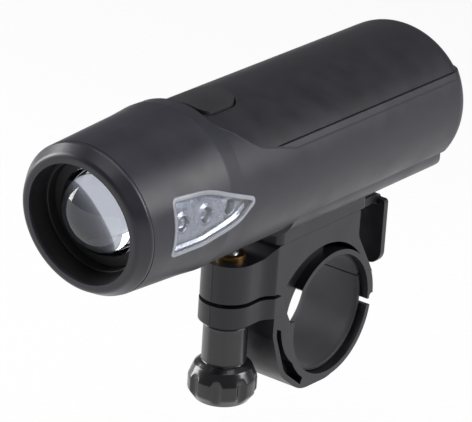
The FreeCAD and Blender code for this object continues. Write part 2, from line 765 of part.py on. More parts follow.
def top_cover():
    """Cover shell over the case, with the button's opening and a tongue under the head."""
    low = S["seam_height"] + 0.2
    outer = cover_block("cover_outer", 0, low)
    shell = cut("cover_shell", outer, cover_block("cover_inner", S["cover_wall"], low - 1))
    under = S["crown_height"] - S["tongue_drop"]
    tongue = lamp_box(
        "tongue",
        (-S["tongue_half"], S["cover_y"] - S["tongue_reach"] + 0.3, under - S["tongue_thick"]),
        (S["tongue_half"], S["cover_y"] + 2, under),
    )
    opening = plan_prism("button_opening", button_plan(S["button_gap"]), 15, 30)
    groove = cover_seal_ring("seal_groove", 0.05)
    keep("top_cover", cut("top_cover", fuse("cover_solid", shell, tongue), opening, groove))
    keep("cover_seal", cover_seal_ring("cover_seal", 0))


def cover_seal_ring(name, extra):
    """Flat rubber ring in the edge of the cover, or its groove, larger all round by extra."""
    low = S["seam_height"] + 0.2
    outer = cover_block(f"{name}_outer", S["seal_inset"] - extra, low)
    inner = cover_block(f"{name}_inner", S["seal_inset"] + S["seal_width"] + extra, low - 1)
    slab = lamp_box(f"{name}_slab", (-40, -80, 0), (40, 60, low + S["seal_thick"] + extra))
    return common(f"{name}_ring", cut(f"{name}_wall", outer, inner), slab)


def button_plan(out, ahead=None):
    """Plan of the button, widened by out: small corners ahead, large ones behind."""
    out = length(out)
    ahead = out if ahead is None else length(ahead)
    half = S["button_half"] + out
    reach = S["button_length"] / 2
    return mirrored([
        (half, S["button_y"] - reach - ahead, out + 3),
        (half, S["button_y"] + reach + out, out + S["button_corner"]),
    ])


def power_button():
    """Button cap flush with the crown, a flange under the cover and a stem to the switch."""
    cap_plan = plan_prism("cap_plan", button_plan(0), 10, 30)
    cap = cut(
        "button_cap",
        common("cap_block", crown("cap_outer", -S["button_proud"], -64), cap_plan),
        crown("cap_inner", S["cover_wall"] + 0.4, -66),
    )
    low = S["cover_wall"] + 0.3
    flange = cut(
        "button_flange",
        common("flange_block", crown("flange_outer", low, -64),
               plan_prism("flange_plan", button_plan(S["flange_out"], S["flange_ahead"]), 10, 30)),
        crown("flange_inner", low + S["flange_thick"], -66),
    )
    stem_low = S["board_height"] + S["board_thick"] + S["switch_tall"] + S["plunger_tall"] + 0.3
    stem_tall = S["crown_height"] - 2.4 - stem_low
    stem = cylinder("button_stem", S["stem_radius"], stem_tall, 0, S["button_y"], S["axis_height"] + stem_low)
    keep("power_button", fuse("power_button", cap, flange, stem))


def switch_board():
    """Driver board with the switch under the button, the switch's plunger and two coils."""
    low = S["board_height"]
    top = low + S["board_thick"]
    half = S["board_half"]
    front = S["cover_y"] + 1.2
    plan = mirrored([(half, front, 3), (half, front + S["board_length"], 2)])
    board = plan_prism("board_plate", plan, low, top)
    parts = [
        lamp_box("driver_chip", (-12, front + 16, top), (-6, front + 23, top + 1.4)),
        lamp_box("choke", (6, front + 17, top), (12, front + 23, top + 3.2)),
        lamp_box("capacitor", (-13, front + 4, top), (-9.6, front + 6, top + 1.0)),
    ]
    keep("main_board", fuse("main_board", board, *parts))
    reach = S["switch_half"]
    y = S["button_y"]
    case = lamp_box("switch_case", (-reach, y - reach, top), (reach, y + reach, top + S["switch_tall"]))
    hole = cylinder("switch_hole", S["plunger_radius"] + 0.1, 5, 0, y, S["axis_height"] + top + 1)
    keep("tact_switch", cut("tact_switch", case, hole))
    plunger = turned_piece("switch_plunger", [
        (0, -1.3), (S["plunger_radius"], -1.3), (S["plunger_radius"], S["plunger_tall"]),
        (0, S["plunger_tall"]),
    ])
    place(plunger, 0, y, S["axis_height"] + top + S["switch_tall"])
    keep("switch_plunger", plunger)


# Cells and carrier

def battery_room():
    """Four cells two by two in a carrier, with contacts and springs at both ends."""
    front = S["carrier_y"] + S["carrier_plate"]
    start = front + S["contact_thick"]
    finish = start + S["cell_length"] + S["spring_length"]
    back = finish + S["contact_thick"]
    half = S["carrier_half"]
    plate = [(-half, -half, 7), (half, -half, 7), (half, half, 7), (-half, half, 7)]
    parts = []
    for name, y in (("front", front - S["carrier_plate"]), ("rear", back)):
        body = new_body(f"carrier_{name}")
        sketch = outline(body, f"carrier_{name}_plan", "XZ_Plane", plate)
        pad(body, sketch, S["carrier_plate"], reverse=True)
        place(body, 0, y, S["axis_height"])
        parts.append(body)
    rail = S["carrier_rail_half"]
    edge = S["cell_pitch"] / 2 + S["cell_radius"]
    for side, name in ((1, "left"), (-1, "right")):
        near, far = edge + 0.15, edge + 0.15 + S["carrier_rail"]
        low, high = (near, far) if side > 0 else (-far, -near)
        parts.append(lamp_box(f"carrier_rail_{name}", (low, front - 1, -rail), (high, back + 1, rail)))
    parts.append(lamp_box(
        "carrier_cradle",
        (-S["cradle_half"], front - 1, -(edge + 0.1 + S["cradle_thick"])),
        (S["cradle_half"], back + 1, -(edge + 0.1)),
    ))
    parts.append(cylinder("carrier_spine", S["spine_radius"], back - front, 0, front, S["axis_height"], (1, 0, 0), -90))
    carrier = fuse("carrier_solid", *parts)
    keep("battery_carrier", carrier)
    contacts = []
    springs = []
    number = 0
    for row, up in (("upper", 1), ("lower", -1)):
        z = S["cell_pitch"] / 2 * up
        for name, y in (("front", start - S["contact_thick"]), ("rear", finish)):
            far = y + S["contact_thick"]
            contacts.append(lamp_box(f"contact_{row}_{name}", (-12, y, z - 4.2), (12, far, z + 4.2)))
        for side in (1, -1):
            x = S["cell_pitch"] / 2 * side
            number += 1
            ahead = side * up > 0
            shoulder = S["cell_length"] - S["nub_length"]
            cell = turned_piece(f"battery_{number}", [
                (0, 0), (S["cell_radius"], 0), (S["cell_radius"], shoulder - 0.6),
                (S["cell_radius"] - 0.6, shoulder), (S["nub_radius"], shoulder),
                (S["nub_radius"], S["cell_length"]), (0, S["cell_length"]),
            ])
            y = start + S["cell_length"] if ahead else finish - S["cell_length"]
            place(cell, x, y, S["axis_height"] + z, (1, 0, 0), 90 if ahead else -90)
            keep(f"battery_{number}", cell)
            springs.append(cell_spring(f"spring_{number}", x, finish if ahead else start, z, ahead))
    keep("carrier_contacts", group("carrier_contacts", *contacts))
    keep("battery_springs", group("battery_springs", *springs))


def cell_spring(name, x, y, z, rear):
    """Conical spring, drawn as the sleeve that its coils fill."""
    narrow = S["spring_radius"] - 1.4
    spring = turned_piece(name, [
        (S["spring_radius"] - 0.6, 0), (S["spring_radius"], 0), (narrow, S["spring_length"]),
        (narrow - 0.6, S["spring_length"]),
    ])
    place(spring, x, y, S["axis_height"] + z, (1, 0, 0), 90 if rear else -90)
    return spring


# Underside of the lamp

def pan_block(name, inset, front, top):
    """The pan's outside moved inwards by inset: flat floor, round keels and a round rear."""
    half = S["case_radius"] - S["pan_side"] - inset
    floor = -(S["pan_floor"] - inset)
    rear = S["rear_y"] - S["belly_inset"] - inset
    corner = S["pan_corner"] - inset
    round_off = S["pan_round"] - inset
    section = on_lamp(prism(f"{name}_section", "XZ_Plane", [
        (-half, top), (half, top), (half, floor, corner), (-half, floor, corner),
    ], 200))
    plan = plan_prism(f"{name}_plan", [
        (-half, front), (half, front), (half, rear, round_off), (-half, rear, round_off),
    ], floor, top)
    side = side_prism(f"{name}_side", [
        (front, top), (rear, top), (rear, floor, round_off), (front, floor),
    ], 200)
    return common(name, section, plan, side)


def belly_pan():
    """Lower pan of the case, with ribs that carry the battery holder and pads for the screws."""
    wall = S["belly_wall"]
    front = S["belly_y"] + S["part_gap"]
    top = -S["ledge_drop"]
    outer = pan_block("pan_outer", 0, front, top)
    inner = pan_block("pan_inner", wall, front + wall, top + 1)
    floor = -(S["pan_floor"] - wall)
    cradle = -(S["cell_pitch"] / 2 + S["cell_radius"] + 0.15 + S["cradle_thick"])
    extras = []
    for i, y in enumerate((-16.0, 24.0)):
        extras.append(lamp_box(f"pan_rib_{i}", (-8, y, floor - 0.5), (8, y + 1.6, cradle)))
    holes = []
    for i, (x, y) in enumerate(shoe_screw_spots()):
        low = S["axis_height"] + floor
        extras.append(cylinder(f"pan_pad_{i}", S["screw_head"] + 0.6, S["pad_tall"] + 0.5, x, y, low - 0.5))
        holes.append(cylinder(f"pan_hole_{i}", S["screw_radius"], 6, x, y, low - 4))
    shell = cut("pan_shell", outer, inner)
    keep("belly_pan", cut("belly_pan", fuse("pan_solid", shell, *extras), *holes))


def shoe_screw_spots():
    """Places of the shoe's four screws."""
    spots = []
    for y in (-19.5, 5.5):
        for side in (1, -1):
            spots.append((S["screw_x"] * side, length(y)))
    return spots


def mount_shoe():
    """Foot under the pan with a T-slot open to the rear."""
    half = S["shoe_half"]
    gap = S["slide_gap"]
    floor = -S["pan_floor"]
    plan = mirrored([(half, S["shoe_front"], 2), (half, S["shoe_rear"], 1)])
    block = plan_prism("shoe_block", plan, -S["shoe_drop"], floor + 1)
    pan = pan_block("pan_room", 0, S["belly_y"], floor + 8)
    stem = S["rail_stem"] + gap
    flange = S["rail_flange"] + gap
    start = S["rail_front"] - gap
    foot = S["base_top"]
    neck_top = foot + S["stem_tall"]
    roof = neck_top + S["flange_tall"] + gap
    neck = box("slot_neck", (-stem, start, foot), (stem, 40, roof))
    head = box("slot_head", (-flange, start, neck_top - gap), (flange, 40, roof))
    slot = fuse("shoe_slot", neck, head)
    low = S["axis_height"] - S["shoe_drop"] + 1.8
    holes = []
    for i, (x, y) in enumerate(shoe_screw_spots()):
        holes.append(cylinder(f"shoe_hole_{i}", S["screw_radius"], S["shoe_tall"], x, y, low))
    keep("mount_shoe", cut("mount_shoe", block, pan, slot, *holes))
    seat = S["axis_height"] - S["pan_floor"] + S["belly_wall"] + S["pad_tall"]
    radius = S["screw_radius"] - S["fit_gap"]
    screws = []
    for i, (x, y) in enumerate(shoe_screw_spots()):
        screw = turned_piece(f"shoe_screw_{i}", [
            (0, -S["screw_long"]), (radius, -S["screw_long"]), (radius, 0), (S["screw_head"], 0),
            (S["screw_head"], 0.8), (1.1, 1.2), (0, 1.2),
        ])
        place(screw, x, y, seat)
        screws.append(screw)
    keep("shoe_screws", group("shoe_screws", *screws))


# Clamp

def bar_disc(name, radius, half, y=0, z=0):
    """A disc across the bar, centred on the middle plane."""
    half = length(half)
    return cylinder(name, radius, half * 2, -half, y, z, (0, 1, 0), 90)


def bar_wedge(name, first, last, reach, half):
    """Sector about the bar between two angles from +Y towards +Z, as a prism."""
    corners = [(0, 0)]
    steps = max(1, math.ceil((last - first) / 60))
    for i in range(steps + 1):
        angle = math.radians(first + (last - first) * i / steps)
        corners.append((reach * math.cos(angle), reach * math.sin(angle)))
    return prism(name, "YZ_Plane", corners, length(half) * 2)


def flare(name, radius, rear, low, high):
    """Neck whose plan widens in smooth curves from the screw's round end to the clamp's width."""
    half = S["bracket_half"]
    front = S["base_front"]
    plan = mirrored([(radius, S["boss_y"]), (radius, front - 3.2, 5), (half, front - 0.2, 1.5), (half, rear)])
    return upright(name, plan, low, high)


def bracket_body():
    """Upper half of the clamp: base with T-rail, arch, band round the bar and boss for the nut."""
    half = S["bracket_half"]
    seat = S["bar_radius"] + S["liner_thick"]
    band = seat + S["band_thick"]
    top = S["base_top"]
    front = S["base_front"]
    low = S["boss_low"]
    first = -S["band_rear_angle"].number
    last = S["band_front_angle"].number
    block = prism("bracket_block", "YZ_Plane", [
        (front, low + 2), (front, top, 0.8), (S["base_rear"], top, 0.6), (S["base_rear"], 20.2, 5),
        (18.3, 7.5), (17, 0), (0, 0), (-18, 8), (-23.4, low, 2),
    ], half * 2)
    ring = common("band_ring", bar_disc("band_disc", band, half), bar_wedge("band_sector", first, last, 40, 14))
    heel = common("band_heel", bar_disc("heel_disc", seat + S["heel_thick"], half),
                  bar_wedge("heel_sector", first, 47, 40, 14))
    arch = bar_disc("arch_disc", S["arch_radius"], 20, S["arch_y"], S["arch_z"])
    web = box("web_keep", (-S["web_half"], -60, -60), (S["web_half"], 60, 60))
    side_room = cut("arch_room", arch, bar_disc("band_keep", band, 30), web)
    front_room = common("front_room", bar_disc("arch_front", S["arch_radius"], 20, S["arch_y"], S["arch_z"]),
                        bar_wedge("front_sector", last, 200, 60, 30))
    boss = cylinder("boss", S["boss_radius"], S["boss_top"] - low, 0, S["boss_y"], low)
    reach = prism("neck_side", "YZ_Plane", [
        (S["boss_y"], low), (front + 3, low), (front + 3, top - 0.3), (front - 0.3, top - 0.3, 1),
        (front - 3.3, S["boss_top"], 3), (S["boss_y"], S["boss_top"]),
    ], half * 2)
    neck = common("boss_neck", reach, flare("neck_plan", S["boss_radius"], front + 3, low, top))
    knuckle = bar_disc("hook_knuckle", S["hook_radius"] + 1.1, S["hook_half"], S["hook_y"], S["hook_z"])
    knuckle_neck = prism("knuckle_neck", "YZ_Plane", [
        (17.4, 0.4), (S["hook_y"] + 2.1, 0.2), (18.6, 6), (17.4, 6)], S["hook_half"] * 2)
    rail_top = top + S["stem_tall"]
    stem = box("rail_neck", (-S["rail_stem"], S["rail_front"], top - 0.5),
               (S["rail_stem"], S["rail_rear"], rail_top + 0.1))
    flange = box("rail_head", (-S["rail_flange"], S["rail_front"], rail_top),
                 (S["rail_flange"], S["rail_rear"], rail_top + S["flange_tall"]))
    arm = cut("bracket_arm", block, side_room, front_room)
    solid = fuse("bracket_solid", arm, ring, heel, boss, neck, knuckle, knuckle_neck, stem, flange,
                 *release_ears())
    nut = S["nut_radius"] + S["fit_gap"]
    tools = [
        bar_disc("liner_seat", seat, 30),
        bar_disc("hook_socket", S["hook_radius"] + S["hook_gap"], 30, S["hook_y"], S["hook_z"]),
        prism("hook_mouth", "YZ_Plane", [
            (S["hook_y"] - 1.6, S["hook_z"] - 4), (S["hook_y"] + 0.75, S["hook_z"] - 4),
            (S["hook_y"] + 0.75, S["hook_z"]), (S["hook_y"] - 0.95, S["hook_z"]),
        ], 40),
        cylinder("bolt_bore", S["bolt_radius"] + 0.35, 60, 0, S["boss_y"], 0),
        cylinder("nut_pocket", nut, 20, 0, S["boss_y"], S["boss_top"] - S["nut_depth"]),
        bar_disc("release_bore", S["pin_radius"], 20, S["pin_y"], S["pin_z"]),
    ]
    keep("bracket_body", cut("bracket_body", solid, *tools))


def release_ears():
    """Two ears behind the base that carry the release tab's pin."""
    ears = []
    for side, name in ((1, "left"), (-1, "right")):
        near, far = S["ear_near"], S["ear_far"]
        low, high = (near, far) if side > 0 else (-far, -near)
        foot = box(f"ear_foot_{name}", (low, S["base_rear"] - 2, S["pin_z"] - 1.5),
                   (high, S["pin_y"], S["base_top"] - 0.2))
        tip = cylinder(f"ear_tip_{name}", 1.6, far - near, low, S["pin_y"], S["pin_z"], (0, 1, 0), 90)
        ears.extend([foot, tip])
    return ears


def liners():
    """Rubber pads between the clamp and the bar."""
    half = S["liner_half"]
    seat = S["bar_radius"] + S["liner_thick"]
    for name, first, last in (("band_liner", 24, 139.5), ("jaw_liner", -178, 22)):
        ring = cut(f"{name}_ring", bar_disc(f"{name}_outer", seat, half),
                   bar_disc(f"{name}_inner", S["bar_radius"], 20))
        pad_sector = common(f"{name}_pad", ring, bar_wedge(f"{name}_sector", first, last, 40, 14))
        if name == "jaw_liner":
            ease = cut("liner_ease", bar_disc("ease_outer", seat + 1, 20), bar_disc("ease_inner", seat - 0.2, 30))
            top = common("liner_top", ease, bar_wedge("ease_sector", -8, 40, 60, 30))
            pad_sector = cut(f"{name}_eased", pad_sector, top)
        keep(name, pad_sector)


def clamp_nut():
    """Brass insert nut with a collar that stands proud of the boss."""
    radius = S["nut_radius"]
    bore = S["bolt_radius"] + S["fit_gap"]
    body = turned_piece("clamp_nut", [
        (bore, -S["nut_depth"]), (radius, -S["nut_depth"]), (radius, 0), (S["nut_collar"], 0),
        (S["nut_collar"], S["nut_proud"] - 0.3), (S["nut_collar"] - 0.3, S["nut_proud"]),
        (bore, S["nut_proud"]),
    ])
    place(body, 0, S["boss_y"], S["boss_top"])
    keep("clamp_nut", body)


def lower_jaw():
    """Lower half of the clamp: band, bulged skin with a cored groove, lug and hooked end."""
    half = S["bracket_half"]
    seat = S["bar_radius"] + S["liner_thick"]
    outer = seat + S["jaw_thick"]
    low, high = S["lug_low"], S["lug_top"]
    front = S["base_front"]
    last = -S["jaw_rear_angle"].number
    band = common("jaw_ring", bar_disc("jaw_disc", outer, half), bar_wedge("jaw_sector", -190, last, 40, 14))
    skin = prism("jaw_skin", "YZ_Plane", [
        (front, high, 0.8), (front, 1.5, 6), (-22.0, -11.6, 9), (-12.6, -18.9, 11), (0.5, -19.3, 12),
        (8.5, -16.4), (0, 0), (-17, 0), (-21.5, 8), (-23.2, high, 1.3),
    ], half * 2)
    rim = bar_disc("rim_disc", 16.9, 30, -6.2, 3.9)
    inner_skin = prism("groove_outer", "YZ_Plane", [
        (-25.0, 3.4), (-24.9, 0.9, 4), (-20.4, -10.9, 8), (-12.4, -17.2), (-11.6, -15.4), (-18.5, 0),
    ], 60)
    web = half - S["groove_depth"]
    gap = cut("groove_room", inner_skin, rim, bar_disc("groove_band", outer + 0.4, 40),
              box("groove_web", (-web, -60, -60), (web, 60, 60)))
    lug = cylinder("lug", S["lug_radius"], high - low, 0, S["boss_y"], low)
    neck = flare("lug_neck", S["lug_radius"], front + 1.4, low, high)
    bead = bar_disc("hook_bead", S["hook_radius"], S["hook_half"], S["hook_y"], S["hook_z"])
    tail = prism("hook_tail", "YZ_Plane", [
        (S["hook_y"] - 0.55, S["hook_z"]), (S["hook_y"] + 0.35, S["hook_z"]),
        (S["hook_y"] + 0.25, -3.6), (18.2, -5), (17.2, -5.2), (17.6, -3.4),
    ], S["hook_half"] * 2)
    reach = S["slot_radius"]
    ahead = S["boss_y"] - reach
    behind = S["boss_y"] + reach + S["slot_reach"]
    slot = prism("lug_slot", "XY_Plane", [
        (-reach, ahead, reach - 0.01), (reach, ahead, reach - 0.01),
        (reach, behind, reach - 0.01), (-reach, behind, reach - 0.01),
    ], 60)
    shell = cut("jaw_shell", fuse("jaw_mass", band, skin), gap)
    solid = fuse("jaw_solid", shell, lug, neck, bead, tail)
    keep("lower_jaw", cut("lower_jaw", solid, bar_disc("jaw_seat", seat, 30), slot))


def clamping_screw():
    """Washer, knob with its flutes, and the screw it turns."""
    y = S["boss_y"]
    top = S["lug_low"] - S["washer_gap"]
    low = top - S["washer_thick"]
    washer = turned_piece("thrust_washer", [
        (S["bolt_radius"] + 0.15, low), (S["washer_radius"], low), (S["washer_radius"], top),
        (S["bolt_radius"] + 0.15, top),
    ])
    place(washer, 0, y, 0)
    keep("thrust_washer", washer)
    neck = low - 0.1
    end = S["knob_low"]
    big = S["knob_radius"]
    head = end + 2.2
    knob = turned_piece("clamp_knob", [
        (S["bolt_radius"], neck), (S["neck_radius"], neck), (S["neck_radius"], S["neck_end"], 0.8),
        (7.9, S["neck_end"] - 1.5, 1), (big, -9.6, 2), (big, -13.5, 1.4), (big - 2, end, 1),
        (S["bolt_head"] + 0.6, end), (S["bolt_head"] + 0.6, head), (S["bolt_head"], head),
        (S["bolt_head"], head + S["bolt_head_thick"]), (S["bolt_radius"], head + S["bolt_head_thick"]),
    ])
    middle = big + S["flute_radius"] * 0.5
    flute = circle(knob, "knob_flute", "XY_Plane", middle, 0, S["flute_radius"], end - 1)
    groove = pocket(knob, flute, S["neck_end"] - 2.4 - end + 1, reverse=True)
    polar(knob, groove, S["flute_count"])
    place(knob, 0, y, 0)
    keep("clamp_knob", knob)
    radius = S["bolt_radius"] - 0.02
    wide = S["bolt_head"] - 0.05
    under = head + S["bolt_head_thick"] - 0.05
    bolt = turned_piece("clamp_bolt", [
        (0, head + 0.8), (2.0, head + 0.8), (2.0, head), (wide, head), (wide, under), (radius, under),
        (radius, S["bolt_tip"] - 0.5), (radius - 0.5, S["bolt_tip"]), (0, S["bolt_tip"]),
    ])
    place(bolt, 0, y, 0)
    keep("clamp_bolt", bolt)


def release_catch():
    """Release tab with its barrel and tooth, and the pin and spring it swings on."""
    half = S["tab_half"]
    barrel = 1.3
    inside = S["tab_y"]
    outside = S["tab_y"] + S["tab_thick"]
    roof = S["pin_z"] + barrel
    low = S["tab_low"]
    narrow = S["ear_near"] - 0.2
    tongue = prism("tab_tongue", "YZ_Plane", [
        (S["pin_y"], roof), (outside, roof, 1.6), (outside, low + 8), (inside, low + 8),
        (inside, roof - 2.3, 1), (S["pin_y"], roof - 2.3),
    ], narrow * 2)
    plate = new_body("tab_plate")
    corner = S["tab_corner"]
    sketch = outline(plate, "tab_plate_plan", "XZ_Plane", [
        (-half, low, corner), (half, low, corner), (half, roof - 1.2, 1), (-half, roof - 1.2, 1),
    ])
    pad(plate, sketch, S["tab_thick"], reverse=True)
    place(plate, 0, inside, 0)
    ring = bar_disc("tab_barrel", barrel, narrow, S["pin_y"], S["pin_z"])
    tooth = prism("tab_tooth", "YZ_Plane", [
        (S["pin_y"] + 1.2, roof - 0.4), (S["pin_y"] + 1.2, roof + 0.15),
        (S["pin_y"] + 3.4, roof + 0.15), (S["pin_y"] + 4.4, roof - 0.4),
    ], 10)
    window = box("spring_window", (-2.6, S["pin_y"] - 3, S["pin_z"] - 4), (2.6, S["pin_y"] + 1.9, S["pin_z"] + 4))
    bore = bar_disc("tab_bore", S["pin_radius"] + 0.06, 30, S["pin_y"], S["pin_z"])
    solid = fuse("tab_solid", tongue, plate, ring, tooth)
    keep("release_tab", cut("release_tab", solid, window, bore))
    keep("release_pin", bar_disc("release_pin", S["pin_radius"] - 0.01, S["ear_far"], S["pin_y"], S["pin_z"]))
    bore = S["pin_radius"] + 0.02
    spring = turned_piece("release_spring", [(bore, -2.2), (bore + 0.6, -2.2), (bore + 0.6, 2.2), (bore, 2.2)])
    place(spring, 0, S["pin_y"], S["pin_z"], (0, 1, 0), 90)
    keep("release_spring", spring)


main_housing()
bezel_ring()
light_tunnel()
condenser_lens()
lens_retainer()
lens_seal()
heat_sink()
led_board()
side_windows()
top_cover()
power_button()
switch_board()
battery_room()
belly_pan()
mount_shoe()
bracket_body()
liners()
clamp_nut()
lower_jaw()
clamping_screw()
release_catch()

doc.recompute()
os.makedirs("parts", exist_ok=True)
for thing in doc.Objects:
    if "Invalid" in thing.State or "Error" in thing.State:
        raise RuntimeError(f"{thing.Label} did not build")
for node in nodes:
    if node.Shape.isNull() or not node.Shape.isValid():
        raise RuntimeError(f"{node.Label} has no valid shape")
    node.Shape.exportStep(f"parts/{node.Label}.step")
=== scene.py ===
"""Bicycle front lamp on a handlebar clamp, dressed for a studio picture.

The handlebar runs along X through the origin, the lamp shines towards -Y and +Z is up. Blender's
lengths are in metres. The pieces made here are worked out in millimetres, from the same sizes as the
solids, and turned into metres when their mesh is made.
"""

import math

import bpy
import numpy as np
from mathutils import Matrix, Vector


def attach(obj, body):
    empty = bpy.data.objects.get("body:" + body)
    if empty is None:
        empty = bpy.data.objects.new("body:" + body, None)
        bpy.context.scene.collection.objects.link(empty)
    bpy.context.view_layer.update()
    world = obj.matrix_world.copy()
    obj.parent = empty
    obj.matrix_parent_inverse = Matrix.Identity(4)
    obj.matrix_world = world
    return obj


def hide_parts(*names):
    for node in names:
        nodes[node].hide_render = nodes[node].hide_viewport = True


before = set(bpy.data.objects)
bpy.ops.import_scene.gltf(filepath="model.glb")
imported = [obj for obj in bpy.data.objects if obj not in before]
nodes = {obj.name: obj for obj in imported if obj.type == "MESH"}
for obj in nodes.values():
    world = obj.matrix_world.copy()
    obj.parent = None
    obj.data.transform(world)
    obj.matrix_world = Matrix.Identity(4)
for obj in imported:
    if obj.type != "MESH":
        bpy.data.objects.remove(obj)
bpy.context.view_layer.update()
MM = 0.001
TURN = 2 * math.pi

# Sizes shared with the solids, in mm: the lamp
AXIS_Z = 53.4
CASE_RADIUS = 22.4
HEAD_END_Y = -60.5
HEAD_SHOULDER = (-66.0, 22.6)
HEAD_PROFILE = [
    (-100.8, 20.4), (-72.0, 22.0), HEAD_SHOULDER, (HEAD_END_Y, CASE_RADIUS), (-40.0, CASE_RADIUS),
]
FRONT_Y = -94.8
FACE_TILT = math.radians(6.8)
LENS_RADIUS = 12.0
BEADS_Y = (-82.8, -74.1, -65.4)
BEAD_RISE = 1.0
BOARD_X = 18.0
CELL_OFFSET = 7.4

# Sizes shared with the solids, in mm: the clamp
BAR_RADIUS = 15.9
BAND_RADIUS = 17.2
JAW_RADIUS = 17.0
BAND_SIDE_X = 7.3
WEB_SIDE_X = 6.9
SCREW_Y = -35.0
SHANK_RADIUS = 2.36
THREAD_PITCH = 0.8
PIN_Y = 12.1
PIN_Z = 26.0

# A turned line stops this far from its axis, in mm, and a fan closes the rest
HUB = 0.05
# Edges that turn by more than this stay sharp
CREASE = math.radians(40)
# Length in mm over which a moulding's tone and gloss drift
DRIFT = 9.0


# Materials

def colour(text):
    """Linear colour of an sRGB hex value: below 0.04045 c/12.92, above ((c + 0.055)/1.055)^2.4."""
    values = [int(text[i:i + 2], 16) / 255 for i in (0, 2, 4)]
    return [*(v / 12.92 if v <= 0.04045 else ((v + 0.055) / 1.055) ** 2.4 for v in values), 1.0]


def grey(value):
    """A linear grey."""
    return [value, value, value, 1.0]


def add(tree, kind, inputs=None, links=None, stops=None, **settings):
    """Adds a node with its settings, input values, links from earlier sockets and colour stops."""
    node = tree.nodes.new(kind)
    for name, value in settings.items():
        setattr(node, name, value)
    for name, value in (inputs or {}).items():
        node.inputs[name].default_value = value
    for name, socket in (links or {}).items():
        tree.links.new(socket, node.inputs[name])
    for number, (position, value) in enumerate(stops or []):
        band = node.color_ramp.elements
        stop = band[number] if number < 2 else band.new(position)
        stop.position = position
        stop.color = value
    return node


def start(name):
    """An empty material with its output node and object coordinates."""
    material = bpy.data.materials.new(name)
    material.use_nodes = True
    tree = material.node_tree
    tree.nodes.clear()
    output = add(tree, "ShaderNodeOutputMaterial")
    place = add(tree, "ShaderNodeTexCoord").outputs["Object"]
    return material, tree, output, place


def moulded(name, low, high, rough, grain, depth, spread=0.05, **shine):
    """Moulded plastic or rubber: a grain of so many mm, and a slow drift of tone and gloss."""
    material, tree, output, place = start(name)
    slow = add(tree, "ShaderNodeTexNoise", {"Scale": 1 / (DRIFT * MM), "Detail": 3.0}, {"Vector": place})
    fine = add(tree, "ShaderNodeTexNoise", {"Scale": 1 / (grain * MM), "Detail": 2.0}, {"Vector": place})
    tone = add(tree, "ShaderNodeValToRGB", links={"Fac": slow.outputs["Fac"]},
               stops=[(0.3, colour(low)), (0.7, colour(high))])
    gloss = add(tree, "ShaderNodeMapRange", {"From Min": 0.3, "From Max": 0.7, "To Min": rough - spread,
                                             "To Max": rough + spread}, {"Value": slow.outputs["Fac"]})
    bump = add(tree, "ShaderNodeBump", {"Strength": 0.6, "Distance": depth * MM},
               {"Height": fine.outputs["Fac"]})
    shader = add(tree, "ShaderNodeBsdfPrincipled", {"IOR": 1.5, "Coat Roughness": 0.08, **shine},
                 {"Base Color": tone.outputs["Color"], "Roughness": gloss.outputs[0],
                  "Normal": bump.outputs["Normal"]})
    tree.links.new(shader.outputs[0], output.inputs["Surface"])
    return material


def metal(name, low, high, rough, streak, stretch=(1, 1, 1), depth=0.004):
    """Bare or plated metal: marks of so many mm, drawn out along the axes whose stretch is low."""
    material, tree, output, place = start(name)
    drawn = add(tree, "ShaderNodeMapping", {"Scale": stretch}, {"Vector": place})
    marks = add(tree, "ShaderNodeTexNoise", {"Scale": 1 / (streak * MM), "Detail": 4.0},
                {"Vector": drawn.outputs[0]})
    tone = add(tree, "ShaderNodeValToRGB", links={"Fac": marks.outputs["Fac"]},
               stops=[(0.3, colour(low)), (0.7, colour(high))])
    gloss = add(tree, "ShaderNodeMapRange", {"From Min": 0.3, "From Max": 0.7, "To Min": rough - 0.05,
                                             "To Max": rough + 0.05}, {"Value": marks.outputs["Fac"]})
    bump = add(tree, "ShaderNodeBump", {"Strength": 0.3, "Distance": depth * MM},
               {"Height": marks.outputs["Fac"]})
    shader = add(tree, "ShaderNodeBsdfPrincipled", {"Metallic": 1.0},
                 {"Base Color": tone.outputs["Color"], "Roughness": gloss.outputs[0],
                  "Normal": bump.outputs["Normal"]})
    tree.links.new(shader.outputs[0], output.inputs["Surface"])
    return material


def clear(name, tint, rough, haze):
    """Clear plastic with a faint haze that thickens over some mm."""
    material, tree, output, place = start(name)
    mist = add(tree, "ShaderNodeTexNoise", {"Scale": 1 / (6 * MM), "Detail": 2.0}, {"Vector": place})
    gloss = add(tree, "ShaderNodeMapRange", {"From Min": 0.35, "From Max": 0.65, "To Min": rough,
                                             "To Max": rough + haze}, {"Value": mist.outputs["Fac"]})
    shader = add(tree, "ShaderNodeBsdfPrincipled", {
        "Base Color": colour(tint), "IOR": 1.49, "Transmission Weight": 1.0,
    }, {"Roughness": gloss.outputs[0]})
    tree.links.new(shader.outputs[0], output.inputs["Surface"])
    return material


# ABS, moulded with a fine eroded finish: broad soft highlights on a bluish dark grey
case_abs = moulded("eroded_abs_case", "21212a", "272731", 0.42, 0.5, 0.008)
cover_abs = moulded("eroded_abs_cover", "191920", "1f1f27", 0.44, 0.5, 0.008)
# ABS, moulded in a stoned mould: a smoother ring than the case
bezel_abs = moulded("satin_abs_ring", "202029", "26262f", 0.36, 0.5, 0.006)
# ABS, moulded dull: nearly no light comes back from the tube
tunnel_abs = moulded("dull_black_abs_tube", "121214", "19191b", 0.55, 0.5, 0.010)
# Nylon with glass fibre, moulded: slightly cloudy gloss where the fibres reach the skin
clamp_nylon = moulded("glass_filled_nylon", "121218", "19191f", 0.38, 0.8, 0.014, spread=0.07)
# Nylon, moulded in a polished mould: wet-looking highlights on the knob
knob_nylon = moulded("polished_nylon_knob", "121216", "19191d", 0.26, 1.5, 0.003, spread=0.04,
                     **{"Coat Weight": 0.3})
# Rubber, cured in a mould: dull, a little paler than the clamp around it
pad_rubber = moulded("cured_rubber_pad", "2a2a2f", "33333a", 0.5, 0.5, 0.02, **{"Sheen Weight": 0.1})
